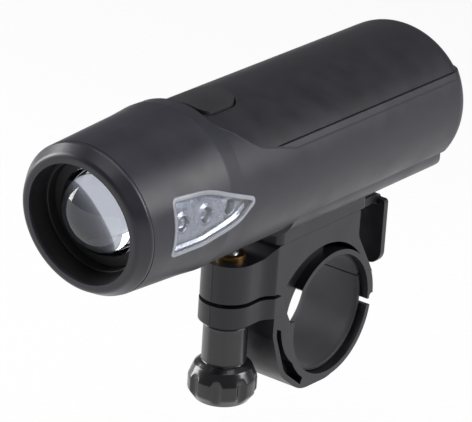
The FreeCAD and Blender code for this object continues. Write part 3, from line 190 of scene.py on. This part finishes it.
# Silicone, moulded: soft dull key
button_silicone = moulded("moulded_silicone_key", "1f1f24", "27272c", 0.48, 0.5, 0.010)
# Polypropylene, moulded: waxy grey holder for the cells
carrier_pp = moulded("moulded_polypropylene", "3a3a3d", "48484c", 0.45, 0.8, 0.010)
# PET sleeve, shrunk on the cells: glossy thin skin
sleeve_pet = moulded("shrunk_pet_sleeve", "6e737a", "7c8188", 0.28, 1.2, 0.006, **{"Coat Weight": 0.3})
# Glass epoxy under solder mask: smooth green with the weave just showing
mask_green = moulded("green_solder_mask", "0f4a2a", "17613a", 0.32, 0.6, 0.008)
# White solder mask, screen coated: bright around the emitters
mask_white = moulded("white_solder_mask", "dcdcd6", "ecece8", 0.4, 0.6, 0.008)
# Phosphor under silicone gel: yellow, wet
phosphor = moulded("phosphor_under_gel", "e0b93a", "efcf5c", 0.25, 0.3, 0.003)
# Polycarbonate, moulded and frosted at its rim: pale band that scatters light round the window
rim_frosted = moulded("frosted_polycarbonate_rim", "878992", "9b9da6", 0.3, 0.6, 0.004,
                      **{"Coat Weight": 0.2})
# ABS, vacuum metallised: a film with a soft mirror, bright behind the side lights and smoky in the cup
tray_film = metal("vacuum_metallised_tray", "8e9099", "a6a8b0", 0.30, 2.0, depth=0.001)
cup_film = metal("vacuum_metallised_cup", "4c4e56", "5c5e66", 0.32, 3.0, depth=0.001)
# Steel, zinc plated: pale, slightly streaked
plated_steel = metal("zinc_plated_steel", "a9abae", "c6c8ca", 0.3, 0.5)
# Brass, turned, with a dull gloss: rings of tool marks round the nut's axis. Its colour is darkened below
# bare brass, as painted shade of the dark recess above the boss where the nut sits
turned_brass = metal("turned_brass", "6a5330", "86693c", 0.38, 0.3, stretch=(0.2, 0.2, 3))
# Steel, blackened: dark washer that only shows where it catches a lamp
black_steel = metal("blackened_steel_washer", "303035", "404046", 0.4, 0.4)
# Aluminium, turned: rings of tool marks across the lamp's axis
turned_alloy = metal("turned_aluminium", "b4b6ba", "cfd1d4", 0.32, 0.3, stretch=(0.2, 3, 0.2))
# Spring steel, nickel plated: warm bright wire
nickel = metal("nickel_plated_spring_steel", "b5b0a4", "cbc7bd", 0.25, 0.4)
# Acrylic, moulded in a polished mould: deep lens, tinted to the grey that its thickness shows
lens_pmma = clear("polished_acrylic_lens", "bcc0ca", 0.0, 0.01)
# Polycarbonate, moulded: clear pane over the side lights
window_pc = clear("clear_polycarbonate_pane", "eef1f6", 0.04, 0.05)
# Epoxy, cast: clear bead on each side light
bead_epoxy = clear("cast_epoxy_bead", "f2f4f6", 0.03, 0.03)

finishes = {
    case_abs: ["main_housing", "belly_pan", "tact_switch"],
    cover_abs: ["top_cover"],
    bezel_abs: ["bezel_ring"],
    tunnel_abs: ["light_tunnel", "lens_retainer"],
    clamp_nylon: ["bracket_body", "lower_jaw", "release_tab", "mount_shoe"],
    knob_nylon: ["clamp_knob"],
    pad_rubber: ["band_liner", "jaw_liner", "lens_seal", "cover_seal"],
    button_silicone: ["power_button"],
    carrier_pp: ["battery_carrier"],
    sleeve_pet: ["battery_1", "battery_2", "battery_3", "battery_4"],
    mask_green: ["main_board"],
    mask_white: ["led_star_board", "side_board_left", "side_board_right", "switch_plunger"],
    phosphor: ["led_emitter"],
    black_steel: ["thrust_washer"],
    plated_steel: ["clamp_bolt", "release_pin", "release_spring", "sink_screws", "shoe_screws"],
    turned_brass: ["clamp_nut"],
    turned_alloy: ["heat_sink"],
    nickel: ["carrier_contacts", "battery_springs"],
    lens_pmma: ["condenser_lens"],
    window_pc: ["side_window_left", "side_window_right"],
    bead_epoxy: ["side_leds_left", "side_leds_right"],
}
for material, names in finishes.items():
    for name in names:
        for slot in nodes[name].material_slots:
            slot.material = material


# Shapes: every piece is a grid of points, worked out as whole arrays

def skin(name, body, material, grids, looped=False):
    """One piece from grids of points in mm, rows along it and columns round it, that rides on a body.

    Neighbouring points make quads, and the columns wrap round. A looped grid joins its last row to its
    first. Any other has each end closed by a fan to the mean of its end row. A grid whose faces give a
    negative volume, the sum of a . (b x c)/6 over its triangles, is turned inside out.
    """
    points, quads, fans, first = [], [], [], 0
    for grid in grids:
        rows, columns = grid.shape[:2]
        flat = grid.reshape(-1, 3)
        index = np.arange(rows * columns).reshape(rows, columns)
        if looped:
            index = np.vstack([index, index[:1]])
            ends = np.empty((0, 3), int)
        else:
            ahead, behind = rows * columns, rows * columns + 1
            flat = np.vstack([flat, grid[0].mean(0), grid[-1].mean(0)])
            near = np.stack([np.full(columns, ahead), np.roll(index[0], -1), index[0]], -1)
            far = np.stack([np.full(columns, behind), index[-1], np.roll(index[-1], -1)], -1)
            ends = np.vstack([near, far])
        beside = np.roll(index, -1, axis=1)
        sides = np.stack([index[:-1], beside[:-1], beside[1:], index[1:]], -1).reshape(-1, 4)
        split = np.vstack([sides[:, :3], sides[:, (0, 2, 3)], ends])
        a, b, c = (flat[split[:, corner]] - flat.mean(0) for corner in range(3))
        if np.einsum("ij,ij->", a, np.cross(b, c)) < 0:
            sides, ends = sides[:, ::-1], ends[:, ::-1]
        points.append(flat)
        quads.append(sides + first)
        fans.append(ends + first)
        first += len(flat)
    mesh = bpy.data.meshes.new(name)
    faces = np.vstack(quads).tolist() + np.vstack(fans).tolist()
    mesh.from_pydata((np.vstack(points) * MM).tolist(), [], faces)
    mesh.shade_smooth()
    mesh.set_sharp_from_angle(angle=CREASE)
    mesh.materials.append(material)
    thing = bpy.data.objects.new(name, mesh)
    bpy.context.scene.collection.objects.link(thing)
    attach(thing, body)
    return thing


def rounded(corners, steps):
    """Line through corners (a, b, radius), each one replaced by an arc that touches both of its sides."""
    spots = [np.array(corner[:2], float) for corner in corners]
    line = []
    for number, (here, corner) in enumerate(zip(spots, corners)):
        if len(corner) < 3:
            line.append(here[None])
            continue
        before = spots[number - 1] - here
        after = spots[(number + 1) % len(spots)] - here
        before /= np.linalg.norm(before)
        after /= np.linalg.norm(after)
        half = math.acos(float(before @ after)) / 2
        middle = here + (before + after) / np.linalg.norm(before + after) * corner[2] / math.sin(half)
        begin = here + before * corner[2] / math.tan(half) - middle
        finish = here + after * corner[2] / math.tan(half) - middle
        share = np.linspace(0, 1, steps + 1)[:, None]
        sweep = math.pi - 2 * half
        arc = np.sin((1 - share) * sweep) * begin + np.sin(share * sweep) * finish
        line.append(middle + arc / math.sin(sweep))
    return np.vstack(line)


def denser(line, step):
    """The same line with points about step apart: both coordinates as functions of the length along it."""
    along = np.concatenate([[0], np.cumsum(np.hypot(*np.diff(line, axis=0).T))])
    parts = [
        np.linspace(a, b, max(2, int((b - a) / step) + 1))[:-1] for a, b in zip(along, along[1:]) if b > a
    ]
    spots = np.append(np.concatenate(parts), along[-1])
    return np.stack([np.interp(spots, along, line[:, 0]), np.interp(spots, along, line[:, 1])], -1)


def turned(line, columns=96):
    """Surface of revolution: a point (r, w) of the line goes to (r cos t, r sin t, w) for every turn t."""
    angle = np.linspace(0, TURN, columns, endpoint=False)
    radius, height = line[:, :1], line[:, 1:]
    return np.stack([radius * np.cos(angle), radius * np.sin(angle), height + 0 * angle], -1)


def coil(radius, height, turns, wire, steps=28, sides=10):
    """Round wire on a helix: the centre goes round at radius(s) and height(s), and the wire's circle is
    spanned by the direction away from the coil's axis and the coil's own axis."""
    share = np.linspace(0, 1, int(turns * steps) + 1)
    angle = share * turns * TURN
    away = np.stack([np.cos(angle), np.sin(angle), 0 * angle], -1)
    centre = away * np.interp(share, *radius)[:, None]
    centre[:, 2] = np.interp(share, *height)
    side = np.linspace(0, TURN, sides, endpoint=False)
    along = np.array([0, 0, 1.0])
    return centre[:, None] + wire * (away[:, None] * np.cos(side)[:, None] + along * np.sin(side)[:, None])


def along_optics(grid):
    """Turns a grid from the optical axis (w forwards, v up) to the lamp, whose face is tipped down."""
    u, v, w = np.moveaxis(grid, -1, 0)
    lean, level = math.sin(FACE_TILT), math.cos(FACE_TILT)
    return np.stack([u, FRONT_Y - lean * v - level * w, AXIS_Z + level * v - lean * w], -1)


def smooth(value):
    """Smooth step: 3 t^2 - 2 t^3 of the value held between 0 and 1."""
    share = np.clip(value, 0, 1)
    return share * share * (3 - 2 * share)


# Optics

def lens():
    """Plano-convex lens: a turned line of a spherical cap, w = seat + rise - R + sqrt(R^2 - r^2), where R
    is (a^2 + rise^2) / 2 rise for the cap's rim radius a, then a short wall, a flange and a flat back."""
    rise, seat = 7.8, -3.7
    flange_radius, flange_front, flange_back, edge = 13.2, -4.5, -5.7, 0.15
    curve = (LENS_RADIUS * LENS_RADIUS + rise * rise) / (2 * rise)
    reach = np.linspace(HUB, LENS_RADIUS, 60)
    cap = np.stack([reach, rise + seat - curve + np.sqrt(curve ** 2 - reach ** 2)], -1)
    rest = rounded([
        (LENS_RADIUS, seat), (LENS_RADIUS, flange_front), (flange_radius, flange_front, edge),
        (flange_radius, flange_back, edge), (HUB, flange_back),
    ], 4)
    grid = along_optics(turned(np.vstack([cap, rest[1:]]), 128))
    piece = skin("plano_convex_lens", "lamp", lens_pmma, [grid])
    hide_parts("condenser_lens")


def reflector_film():
    """Reflector cup: the inside is a paraboloid, r^2 growing evenly with w from the throat to the mouth,
    and the outside lies just within the moulded cup."""
    throat, mouth = -17.4, -6.35
    throat_radius, mouth_radius = 3.35, 11.4
    w = np.linspace(throat, mouth, 48)
    square = np.interp(w, [throat, mouth], [throat_radius ** 2, mouth_radius ** 2])
    inside = np.stack([np.sqrt(square), w], -1)
    outside = np.array([(11.5, mouth), (11.0, -10.6), (8.9, -13.25), (6.25, -15.95), (3.5, throat)])
    grid = along_optics(turned(np.vstack([inside, outside])))
    skin("metallised_cup", "lamp", cup_film, [grid], looped=True)


def throat_bead():
    """Thin bead on the tube's step: a small circle carried round a large one."""
    radius, wire, step = 15.2, 0.16, -1.56
    side = np.linspace(0, TURN, 12, endpoint=False)
    line = np.stack([radius + wire * np.cos(side), step + wire * np.sin(side)], -1)
    skin("throat_bead", "lamp", bezel_abs, [along_optics(turned(line, 128))], looped=True)


# Side windows

# Outline in mm: y, height over the lamp's axis, and the corner's radius
WINDOW = [
    (-87.6, 9.0, 2.0), (-73.6, 8.0, 25), (-54.6, 1.0, 1.6),
    (-61.6, -4.0, 9), (-74.6, -7.2, 16), (-87.6, -7.2, 2.0),
]
WINDOW_TALL = 16
PANE_INSET = 1.2
TRAY_INSET = 0.9
TRAY_FRONT_Y = -86.7
TRAY_REAR_Y = -55.6


def head_radius(y):
    """Radius of the head at y: a running mean over 4 mm of straight runs between the profile's corners."""
    places, sizes = zip(*HEAD_PROFILE)
    return np.mean([np.interp(y + shift, places, sizes) for shift in (-2, -1, 0, 1, 2)], axis=0)


def on_head(y, rise, out, side):
    """Point on the head at y and a height over its axis, moved out along the radius."""
    reach = head_radius(y) + out
    return np.stack([side * np.sqrt(reach ** 2 - rise ** 2), y + 0 * reach, AXIS_Z + rise + 0 * reach], -1)


def window_line(inset):
    """The window's outline as a closed line, each point moved inwards by inset along its normal."""
    line = denser(np.vstack([rounded(WINDOW, 10), rounded(WINDOW, 10)[:1]]), 0.5)[:-1]
    ahead = np.roll(line, -1, axis=0) - np.roll(line, 1, axis=0)
    normal = np.stack([ahead[:, 1], -ahead[:, 0]], -1) / np.linalg.norm(ahead, axis=1)[:, None]
    return line + normal * np.sign(np.sum(normal * (line.mean(0) - line), axis=1).mean()) * inset


def window_span(inset, y):
    """Lowest and highest height inside the inset outline at each y."""
    line = window_line(inset)
    first, last = np.argmin(line[:, 0]), np.argmax(line[:, 0])
    line = np.roll(line, -first, axis=0)
    last = (last - first) % len(line)
    one, two = line[:last + 1], np.vstack([line[last:], line[:1]])[::-1]
    spans = np.sort([np.interp(y, one[:, 0], one[:, 1]), np.interp(y, two[:, 0], two[:, 1])], axis=0)
    return spans[0], spans[1]


def window_sheet(inset, outer, inner, side, step=0.5):
    """Closed sheet over the window: rows along y, closer towards its ends by a cosine, and columns up its
    outer face and down its inner one, straight between the outline's lowest and highest height."""
    line = window_line(inset)
    margin = 0.02
    first, last = line[:, 0].min() + margin, line[:, 0].max() - margin
    turn = np.linspace(0, math.pi, int((last - first) / step))
    y = (first + last) / 2 - (last - first) / 2 * np.cos(turn)
    low, high = window_span(inset, y)
    share = np.linspace(0, 1, int(WINDOW_TALL / step))
    y, rise = y[:, None] + 0 * share, low[:, None] + (high - low)[:, None] * share
    front = on_head(y, rise, outer(y, rise), side)
    back = on_head(y, rise, inner(y, rise), side)
    return np.concatenate([front, back[:, ::-1]], axis=1)


def window_frame(side):
    """Frosted rim: a rounded section, 1.3 mm wide and 1.5 mm deep, carried round the outline."""
    section = rounded([
        (0.06, 0.22, 0.2), (1.25, 0.16, 0.35), (1.4, -0.9), (1.3, -1.34, 0.1), (0.1, -1.34, 0.1),
    ], 4)
    return np.stack([on_head(*window_line(inwards).T, out, side) for inwards, out in section], axis=1)


def tray_depth(y, rise):
    """Height of the tray over the head's skin: -1.4 at its rim and 0.75 lower inside. A collar stands
    round each light, a bell curve e^(-t^2) of the distance from it, and inside it the tray meets
    the board."""
    rim, dish, shoulder = -1.4, 0.75, 1.1
    collar_radius, collar_width, collar_height = 2.15, 0.42, 0.42
    hole_radius, over_board = 2.0, 0.12
    low, high = window_span(TRAY_INSET, y[:, 0])
    edge = np.minimum(rise - low[:, None], high[:, None] - rise)
    edge = np.minimum(edge, np.minimum(y - TRAY_FRONT_Y, TRAY_REAR_Y - y))
    out = rim - dish * smooth((edge - 0.5) / shoulder)
    for place in BEADS_Y:
        away = np.hypot(y - place, rise - BEAD_RISE)
        bell = np.exp(-((away - collar_radius) / collar_width) ** 2)
        out = out + collar_height * bell * smooth(edge / 0.8)
        floor = np.hypot(BOARD_X + over_board, rise) - head_radius(y)
        out = out + (floor - out) * smooth((hole_radius - away) / 0.5)
    return out


def side_windows():
    """Frame, pane, tray and bead domes of both sides, the far side mirrored from the near one."""
    film, pane_outside, pane_inside = 0.12, 0.1, -1.0
    dome = rounded([(0.02, 1.6), (1.5, 1.6, 1.4), (1.55, 0.25), (1.6, 0.2, 0.05), (1.6, 0.02)], 8)
    across, up, out = np.moveaxis(turned(dome, 40), -1, 0)
    height = AXIS_Z + BEAD_RISE + up
    for side, name in ((1, "left"), (-1, "right")):
        rim = skin(f"window_frame_{name}", "lamp", rim_frosted, [window_frame(side)], looped=True)
        pane = window_sheet(
            PANE_INSET,
            lambda y, rise: 0 * rise + pane_outside,
            lambda y, rise: 0 * rise + pane_inside,
            side,
        )
        skin(f"window_pane_{name}", "lamp", window_pc, [pane])
        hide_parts(f"side_window_{name}")
        tray = window_sheet(TRAY_INSET, tray_depth, lambda y, rise: tray_depth(y, rise) - film, side, 0.2)
        skin(f"reflector_tray_{name}", "lamp", tray_film, [tray])
        domes = [np.stack([side * (BOARD_X + out), place + across, height], -1) for place in BEADS_Y]
        beads = skin(f"bead_domes_{name}", "lamp", bead_epoxy, domes)
        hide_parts(f"side_leds_{name}")


# Clamp

def flute_radius(angle, count, phase, middle, size):
    """Distance from the knob's axis to the near side of its flutes: m cos a - sqrt(s^2 - (m sin a)^2),
    where a is the angle from the nearest flute, and no limit where the direction misses the flute."""
    step = TURN / count
    near = (angle - phase + step / 2) % step - step / 2
    inside = size ** 2 - (middle * np.sin(near)) ** 2
    return np.where(inside > 0, middle * np.cos(near) - np.sqrt(np.maximum(inside, 0)), 99.0)


def knob():
    """Knob: a turned line, held by a smooth minimum, -k log(e^(-a/k) + e^(-b/k)), under the flutes of its
    rim, which fade in below the shoulder, and eased towards flats along its neck."""
    neck, rim, bore = 6.1, 9.4, 2.42
    top, neck_foot, foot = 5.9, -4.8, -16.2
    seat_radius, seat = 4.15, -10.65
    mouth_radius, mouth = 4.7, -14.05
    count, phase, flute_middle, flute_size = 8, math.radians(27), 10.3, 1.8
    flat_reach, flat_phase, flat_share = 5.75, math.radians(16), 0.45
    soft = 0.22
    line = denser(rounded([
        (bore, top), (neck, top, 0.3), (neck, neck_foot, 1.0), (7.9, -6.3, 1.2), (rim, -9.6, 2.2),
        (rim, -13.5, 1.6), (7.4, foot, 0.8), (mouth_radius, foot, 0.3), (mouth_radius, mouth),
        (seat_radius, mouth), (seat_radius, seat), (bore, seat),
    ], 8), 0.35)
    grid = turned(line, 240)
    angle = np.linspace(0, TURN, 240, endpoint=False)
    radius, height = line[:, :1] + 0 * angle, line[:, 1:]
    outer = smooth((radius - 5.4) / 0.4)
    limit = flute_radius(angle, count, phase, flute_middle, flute_size)
    fluted = -soft * np.logaddexp(-radius / soft, -limit / soft)
    step = TURN / count
    flat = flat_reach / np.cos((angle - flat_phase + step / 2) % step - step / 2)
    on_neck = outer * smooth((6.6 - radius) / 0.3) * smooth((5.6 - height) / 0.6)
    shaped = radius + outer * smooth((-7.2 - height) / 2.6) * (fluted - radius)
    shaped = shaped + on_neck * flat_share * (np.minimum(flat, neck) - radius)
    grid[..., :2] *= (shaped / radius)[..., None]
    grid[..., 1] += SCREW_Y
    piece = skin("fluted_knob", "knob", knob_nylon, [grid], looped=True)
    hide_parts("clamp_knob")


def screw():
    """Screw: a turned line with a round head and a hexagonal socket, a/cos(t) from the flats, and a thread
    whose radius is a triangle wave of z less the pitch times the turn."""
    tip, under_head, face = 26.9, -10.68, -13.95
    head_size, socket_radius, socket_corner, socket_floor = 4.05, 1.9, 2.0, -12.2
    thread_depth, thread_foot = 0.36, -6.0
    line = denser(rounded([
        (HUB, socket_floor), (socket_radius, socket_floor), (socket_radius, -13.9), (head_size, face, 0.4),
        (head_size, under_head, 0.2), (SHANK_RADIUS, under_head), (SHANK_RADIUS, 26.4, 0.2), (1.9, tip),
        (HUB, tip),
    ], 4), 0.133)
    grid = turned(line, 48)
    angle = np.linspace(0, TURN, 48, endpoint=False)
    radius, height = line[:, :1] + 0 * angle, line[:, 1:] + 0 * angle
    sixth = math.pi / 6
    hexagon = socket_corner * math.cos(sixth) / np.cos((angle + sixth) % (2 * sixth) - sixth)
    socket = (radius < socket_radius + 0.05) & (height < socket_floor + 0.2)
    wave = np.abs((height / THREAD_PITCH - angle / TURN) % 1 - 0.5) * 2
    thread = (np.abs(radius - SHANK_RADIUS) < 0.01) & (height > thread_foot)
    shaped = np.where(socket, radius * hexagon / socket_radius, radius)
    shaped = np.where(thread, radius - thread_depth * wave, shaped)
    grid[..., :2] *= (shaped / radius)[..., None]
    grid[..., 1] += SCREW_Y
    piece = skin("threaded_screw", "knob", plated_steel, [grid])
    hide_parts("clamp_bolt")


def pads():
    """Rubber pads of band and jaw: a rounded section in (x, r) carried round the bar between two angles.
    Their far rim stands proud of the clamp, where the picture shows background through the bore."""
    far_x = -11.2
    for name, body, first, last, outer, node in (
        ("band_pad", "bracket", 24.0, 139.5, BAND_RADIUS, "band_liner"),
        ("jaw_pad", "jaw", -178.0, 22.0, JAW_RADIUS, "jaw_liner"),
    ):
        section = rounded([
            (BAND_SIDE_X, BAR_RADIUS, 0.25), (BAND_SIDE_X, outer, 0.2),
            (far_x, outer, 0.3), (far_x, BAR_RADIUS, 0.3),
        ], 4)
        section = denser(np.vstack([section, section[:1]]), 1.5)[:-1]
        angle = np.radians(np.linspace(first, last, 90))[:, None]
        x, radius = section[:, 0] + 0 * angle, section[:, 1] + 0 * angle
        grid = np.stack([x, radius * np.cos(angle), radius * np.sin(angle)], -1)
        piece = skin(name, body, pad_rubber, [grid])
        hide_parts(node)


def front_web():
    """Back wall of the arch's pocket. Along each direction d from the bar it runs from the band to the
    nearest of the arch's circle, d.c + sqrt((d.c)^2 - c.c + R^2), and two lines that clear the jaw,
    k/(n.d)."""
    arch, arch_radius = np.array([-5.5, -0.7]), 23.3
    jaw_lines = (((0.8715, 0.4902), -14.32), ((0.9447, 0.3278), -17.19))
    band_out, behind_band, pad_end, edge = 17.6, 0.3, 139.0, 0.02
    first, last = 96, 174.5
    angle = np.radians(np.linspace(first, last, 120))
    ray = np.stack([np.cos(angle), np.sin(angle)], -1)
    across = ray @ arch
    far = across + np.sqrt(across ** 2 - arch @ arch + arch_radius ** 2)
    for normal, reach in jaw_lines:
        slope = np.minimum(ray @ np.array(normal), -1e-6)
        far = np.minimum(far, reach / slope)
    near = band_out - behind_band * smooth((np.degrees(angle) - pad_end) / 1.5)
    section = rounded([
        (WEB_SIDE_X, 0, edge), (WEB_SIDE_X, 1, edge), (-WEB_SIDE_X, 1, edge), (-WEB_SIDE_X, 0, edge),
    ], 2)
    section = denser(np.vstack([section, section[:1]]), 0.2)[:-1]
    radius = near[:, None] + (np.maximum(far, near + 0.05) - near)[:, None] * section[:, 1]
    x = section[:, 0] + 0 * radius
    grid = np.stack([x, radius * ray[:, :1], radius * ray[:, 1:]], -1)
    skin("arch_web", "bracket", clamp_nylon, [grid])


def painted_seam_shadow():
    """Dull black bead in the seam, a painted shadow of the step where the case stands proud of the cover:
    a flat bead carried round the cover's plan on the case's skin. Its section is an ellipse, spanned by
    the way across the seam and the way out from the lamp's axis."""
    half_width, height, sunk = 0.24, 0.07, 0.02
    side_x, rear, front = 20.55, 35.8, -61.85
    corners = [(side_x, rear), (side_x, -37.0), (18.75, -51.9, 14), (11.3, front, 5), (0, front)]
    plan = denser(rounded(corners, 12), 0.6)
    plan = np.vstack([plan, plan[-2::-1] * (-1, 1)])
    x, y = plan[:, 0], plan[:, 1]
    reach = np.interp(y, [HEAD_SHOULDER[0], HEAD_END_Y], [HEAD_SHOULDER[1], CASE_RADIUS])
    rise = np.sqrt(reach ** 2 - x ** 2)
    centre = np.stack([x, y, AXIS_Z + rise], -1)
    up = np.stack([x, 0 * x, rise], -1) / reach[:, None]
    along = np.gradient(centre, axis=0)
    along /= np.linalg.norm(along, axis=1)[:, None]
    beside = np.cross(along, up)
    side = np.linspace(0, TURN, 10, endpoint=False)
    across = beside[:, None] * (half_width * np.cos(side))[:, None]
    outwards = up[:, None] * (height * np.sin(side) - sunk)[:, None]
    # Dull black on the case's skin: painted shadow along the cover's seam
    skin("painted_seam_shadow", "lamp", tunnel_abs, [centre[:, None] + across + outwards])


def parting_line(name, body, reach, low, high):
    """Flash where the mould's halves meet: a low ridge carried up the front of a round boss."""
    half, sunk, peak = 0.25, -0.3, 0.22
    height = np.linspace(low, high, 24)[:, None]
    section = rounded([(-half, sunk), (-half, 0.0), (0.0, peak, 0.06), (half, 0.0), (half, sunk)], 3)
    across, out = section[:, 0] + 0 * height, section[:, 1] + 0 * height
    skin(name, body, clamp_nylon, [np.stack([across, SCREW_Y - reach - out, height + 0 * out], -1)])


# Springs

def battery_springs():
    """Conical coils, wide at the contact and narrow at the cell, nearly flat for the turn at each end."""
    rear, front, wide, narrow, wire = 32.0, -23.6, 3.3, 1.9, 0.28
    radius = [0, 0.18, 1], [wide, wide, narrow]
    height = [0, 0.16, 0.86, 1], [0.3, 0.32, 4.95, 5.0]
    spring = coil(radius, height, 5.5, wire)
    coils = [
        np.stack([x + spring[..., 0], y + ahead * spring[..., 2], AXIS_Z + rise + spring[..., 1]], -1)
        for x, rise, y, ahead in (
            (CELL_OFFSET, CELL_OFFSET, rear, -1), (-CELL_OFFSET, -CELL_OFFSET, rear, -1),
            (-CELL_OFFSET, CELL_OFFSET, front, 1), (CELL_OFFSET, -CELL_OFFSET, front, 1),
        )
    ]
    piece = skin("conical_cell_springs", "lamp", nickel, coils)
    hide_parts("battery_springs")


def catch_spring():
    """Closely wound coil round the tab's pin."""
    radius, half, wire = 0.92, 1.9, 0.26
    spring = coil(([0, 1], [radius, radius]), ([0, 1], [-half, half]), 6.5, wire, 20, 8)
    grid = np.stack([spring[..., 2], PIN_Y + spring[..., 0], PIN_Z + spring[..., 1]], -1)
    piece = skin("catch_spring", "bracket", nickel, [grid])
    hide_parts("release_spring")


lens()
reflector_film()
throat_bead()
side_windows()
painted_seam_shadow()
knob()
screw()
pads()
front_web()
parting_line("boss_parting_line", "bracket", 7.6, 14.4, 24.4)
parting_line("lug_parting_line", "jaw", 7.7, 7.5, 12.5)
battery_springs()
catch_spring()


# Studio: pale floor, white surround, soft lamps

def white_share(tree, share, *rays):
    """Factor that is share for the named rays and 0 for all others."""
    path = add(tree, "ShaderNodeLightPath")
    seen = path.outputs[rays[0]]
    for ray in rays[1:]:
        either = add(tree, "ShaderNodeMath", links={0: seen, 1: path.outputs[ray]}, operation="MAXIMUM")
        seen = either.outputs[0]
    return add(tree, "ShaderNodeMath", {1: share}, {0: seen}, operation="MULTIPLY").outputs[0]


def studio_floor():
    """Wide paper sheet below the lamp that sinks with the square of the distance past 1 m."""
    half, level, flat, fall = 1.6, -0.075, 1.0, 0.02
    side = np.linspace(-half, half, 41)
    x, y = np.meshgrid(side, side, indexing="ij")
    away = np.clip(np.hypot(x, y) - flat, 0, None)
    points = np.stack([x, y, level - fall * away ** 2], -1)
    index = np.arange(points.size // 3).reshape(x.shape)
    quads = np.stack([index[:-1, :-1], index[1:, :-1], index[1:, 1:], index[:-1, 1:]], -1).reshape(-1, 4)
    mesh = bpy.data.meshes.new("studio_floor")
    mesh.from_pydata(points.reshape(-1, 3).tolist(), [], quads.tolist())
    floor = bpy.data.objects.new("studio_floor", mesh)
    bpy.context.scene.collection.objects.link(floor)
    material, tree, output, place = start("matt_paper_floor")
    grainy = add(tree, "ShaderNodeTexNoise", {"Scale": 1 / (2.5 * MM)}, {"Vector": place})
    tone = add(tree, "ShaderNodeValToRGB", links={"Fac": grainy.outputs["Fac"]},
               stops=[(0.3, colour("f0f0f0")), (0.7, colour("f6f6f6"))])
    matt = add(tree, "ShaderNodeBsdfDiffuse", links={"Color": tone.outputs["Color"]})
    glow = add(tree, "ShaderNodeEmission", {"Color": grey(1.0), "Strength": 1.0})
    share = white_share(tree, 0.8, "Is Camera Ray", "Is Transmission Ray", "Is Glossy Ray")
    mix = add(tree, "ShaderNodeMixShader", links={0: share, 1: matt.outputs[0], 2: glow.outputs[0]})
    tree.links.new(mix.outputs[0], output.inputs["Surface"])
    mesh.materials.append(material)


def soft_lamp(name, place, target, width, height, power):
    """A rectangular soft box that looks at a point."""
    light = bpy.data.lights.new(name, "AREA")
    light.shape = "RECTANGLE"
    light.size = width
    light.size_y = height
    light.energy = power
    thing = bpy.data.objects.new(name, light)
    thing.location = place
    thing.rotation_mode = "QUATERNION"
    thing.rotation_quaternion = (Vector(target) - Vector(place)).to_track_quat("-Z", "Y")
    bpy.context.scene.collection.objects.link(thing)


def world_light():
    """White to the camera and through clear pieces, a dim even grey to everything else."""
    world = bpy.data.worlds.new("studio_world")
    bpy.context.scene.world = world
    world.use_nodes = True
    tree = world.node_tree
    tree.nodes.clear()
    output = add(tree, "ShaderNodeOutputWorld")
    dim = add(tree, "ShaderNodeBackground", {"Color": grey(1.0), "Strength": 0.2})
    white = add(tree, "ShaderNodeBackground", {"Color": grey(1.0), "Strength": 1.0})
    share = white_share(tree, 1.0, "Is Camera Ray", "Is Transmission Ray")
    mix = add(tree, "ShaderNodeMixShader", links={0: share, 1: dim.outputs[0], 2: white.outputs[0]})
    tree.links.new(mix.outputs[0], output.inputs["Surface"])


def studio_camera():
    """The photograph's viewpoint: bearing, height above the horizon and roll in radians, place in mm, and
    the focal length and picture width in pixels."""
    bearing, height, roll = 0.6333, 0.3927, 0.0656
    spot = Vector((484.0, -693.0, 376.3))
    focal, wide, sensor = 3350, 472, 36.0
    level = Vector((math.cos(bearing), math.sin(bearing), 0))
    ahead = Vector((math.sin(bearing), -math.cos(bearing), 0))
    back = ahead * math.cos(height) + Vector((0, 0, math.sin(height)))
    up = back.cross(level)
    right = level * math.cos(roll) + up * math.sin(roll)
    top = up * math.cos(roll) - level * math.sin(roll)
    camera = bpy.data.objects.new("studio_camera", bpy.data.cameras.new("studio_camera"))
    camera.data.sensor_width = sensor
    camera.data.lens = focal / wide * sensor
    camera.data.clip_start = 0.05
    camera.matrix_world = Matrix.Translation(spot * MM) @ Matrix((right, top, back)).transposed().to_4x4()
    bpy.context.scene.collection.objects.link(camera)
    bpy.context.scene.camera = camera


studio_floor()
world_light()
soft_lamp("overhead_softbox", (0.1, -0.1, 0.9), (0, -0.02, 0.05), 0.8, 0.8, 4.0)
soft_lamp("left_softbox", (-1.0, -0.3, 0.3), (0, -0.02, 0.04), 0.5, 0.7, 11.0)
soft_lamp("right_softbox", (0.9, 0.45, 0.5), (0, -0.02, 0.04), 0.5, 0.6, 8.5)
studio_camera()
bpy.context.scene.view_settings.view_transform = "Standard"
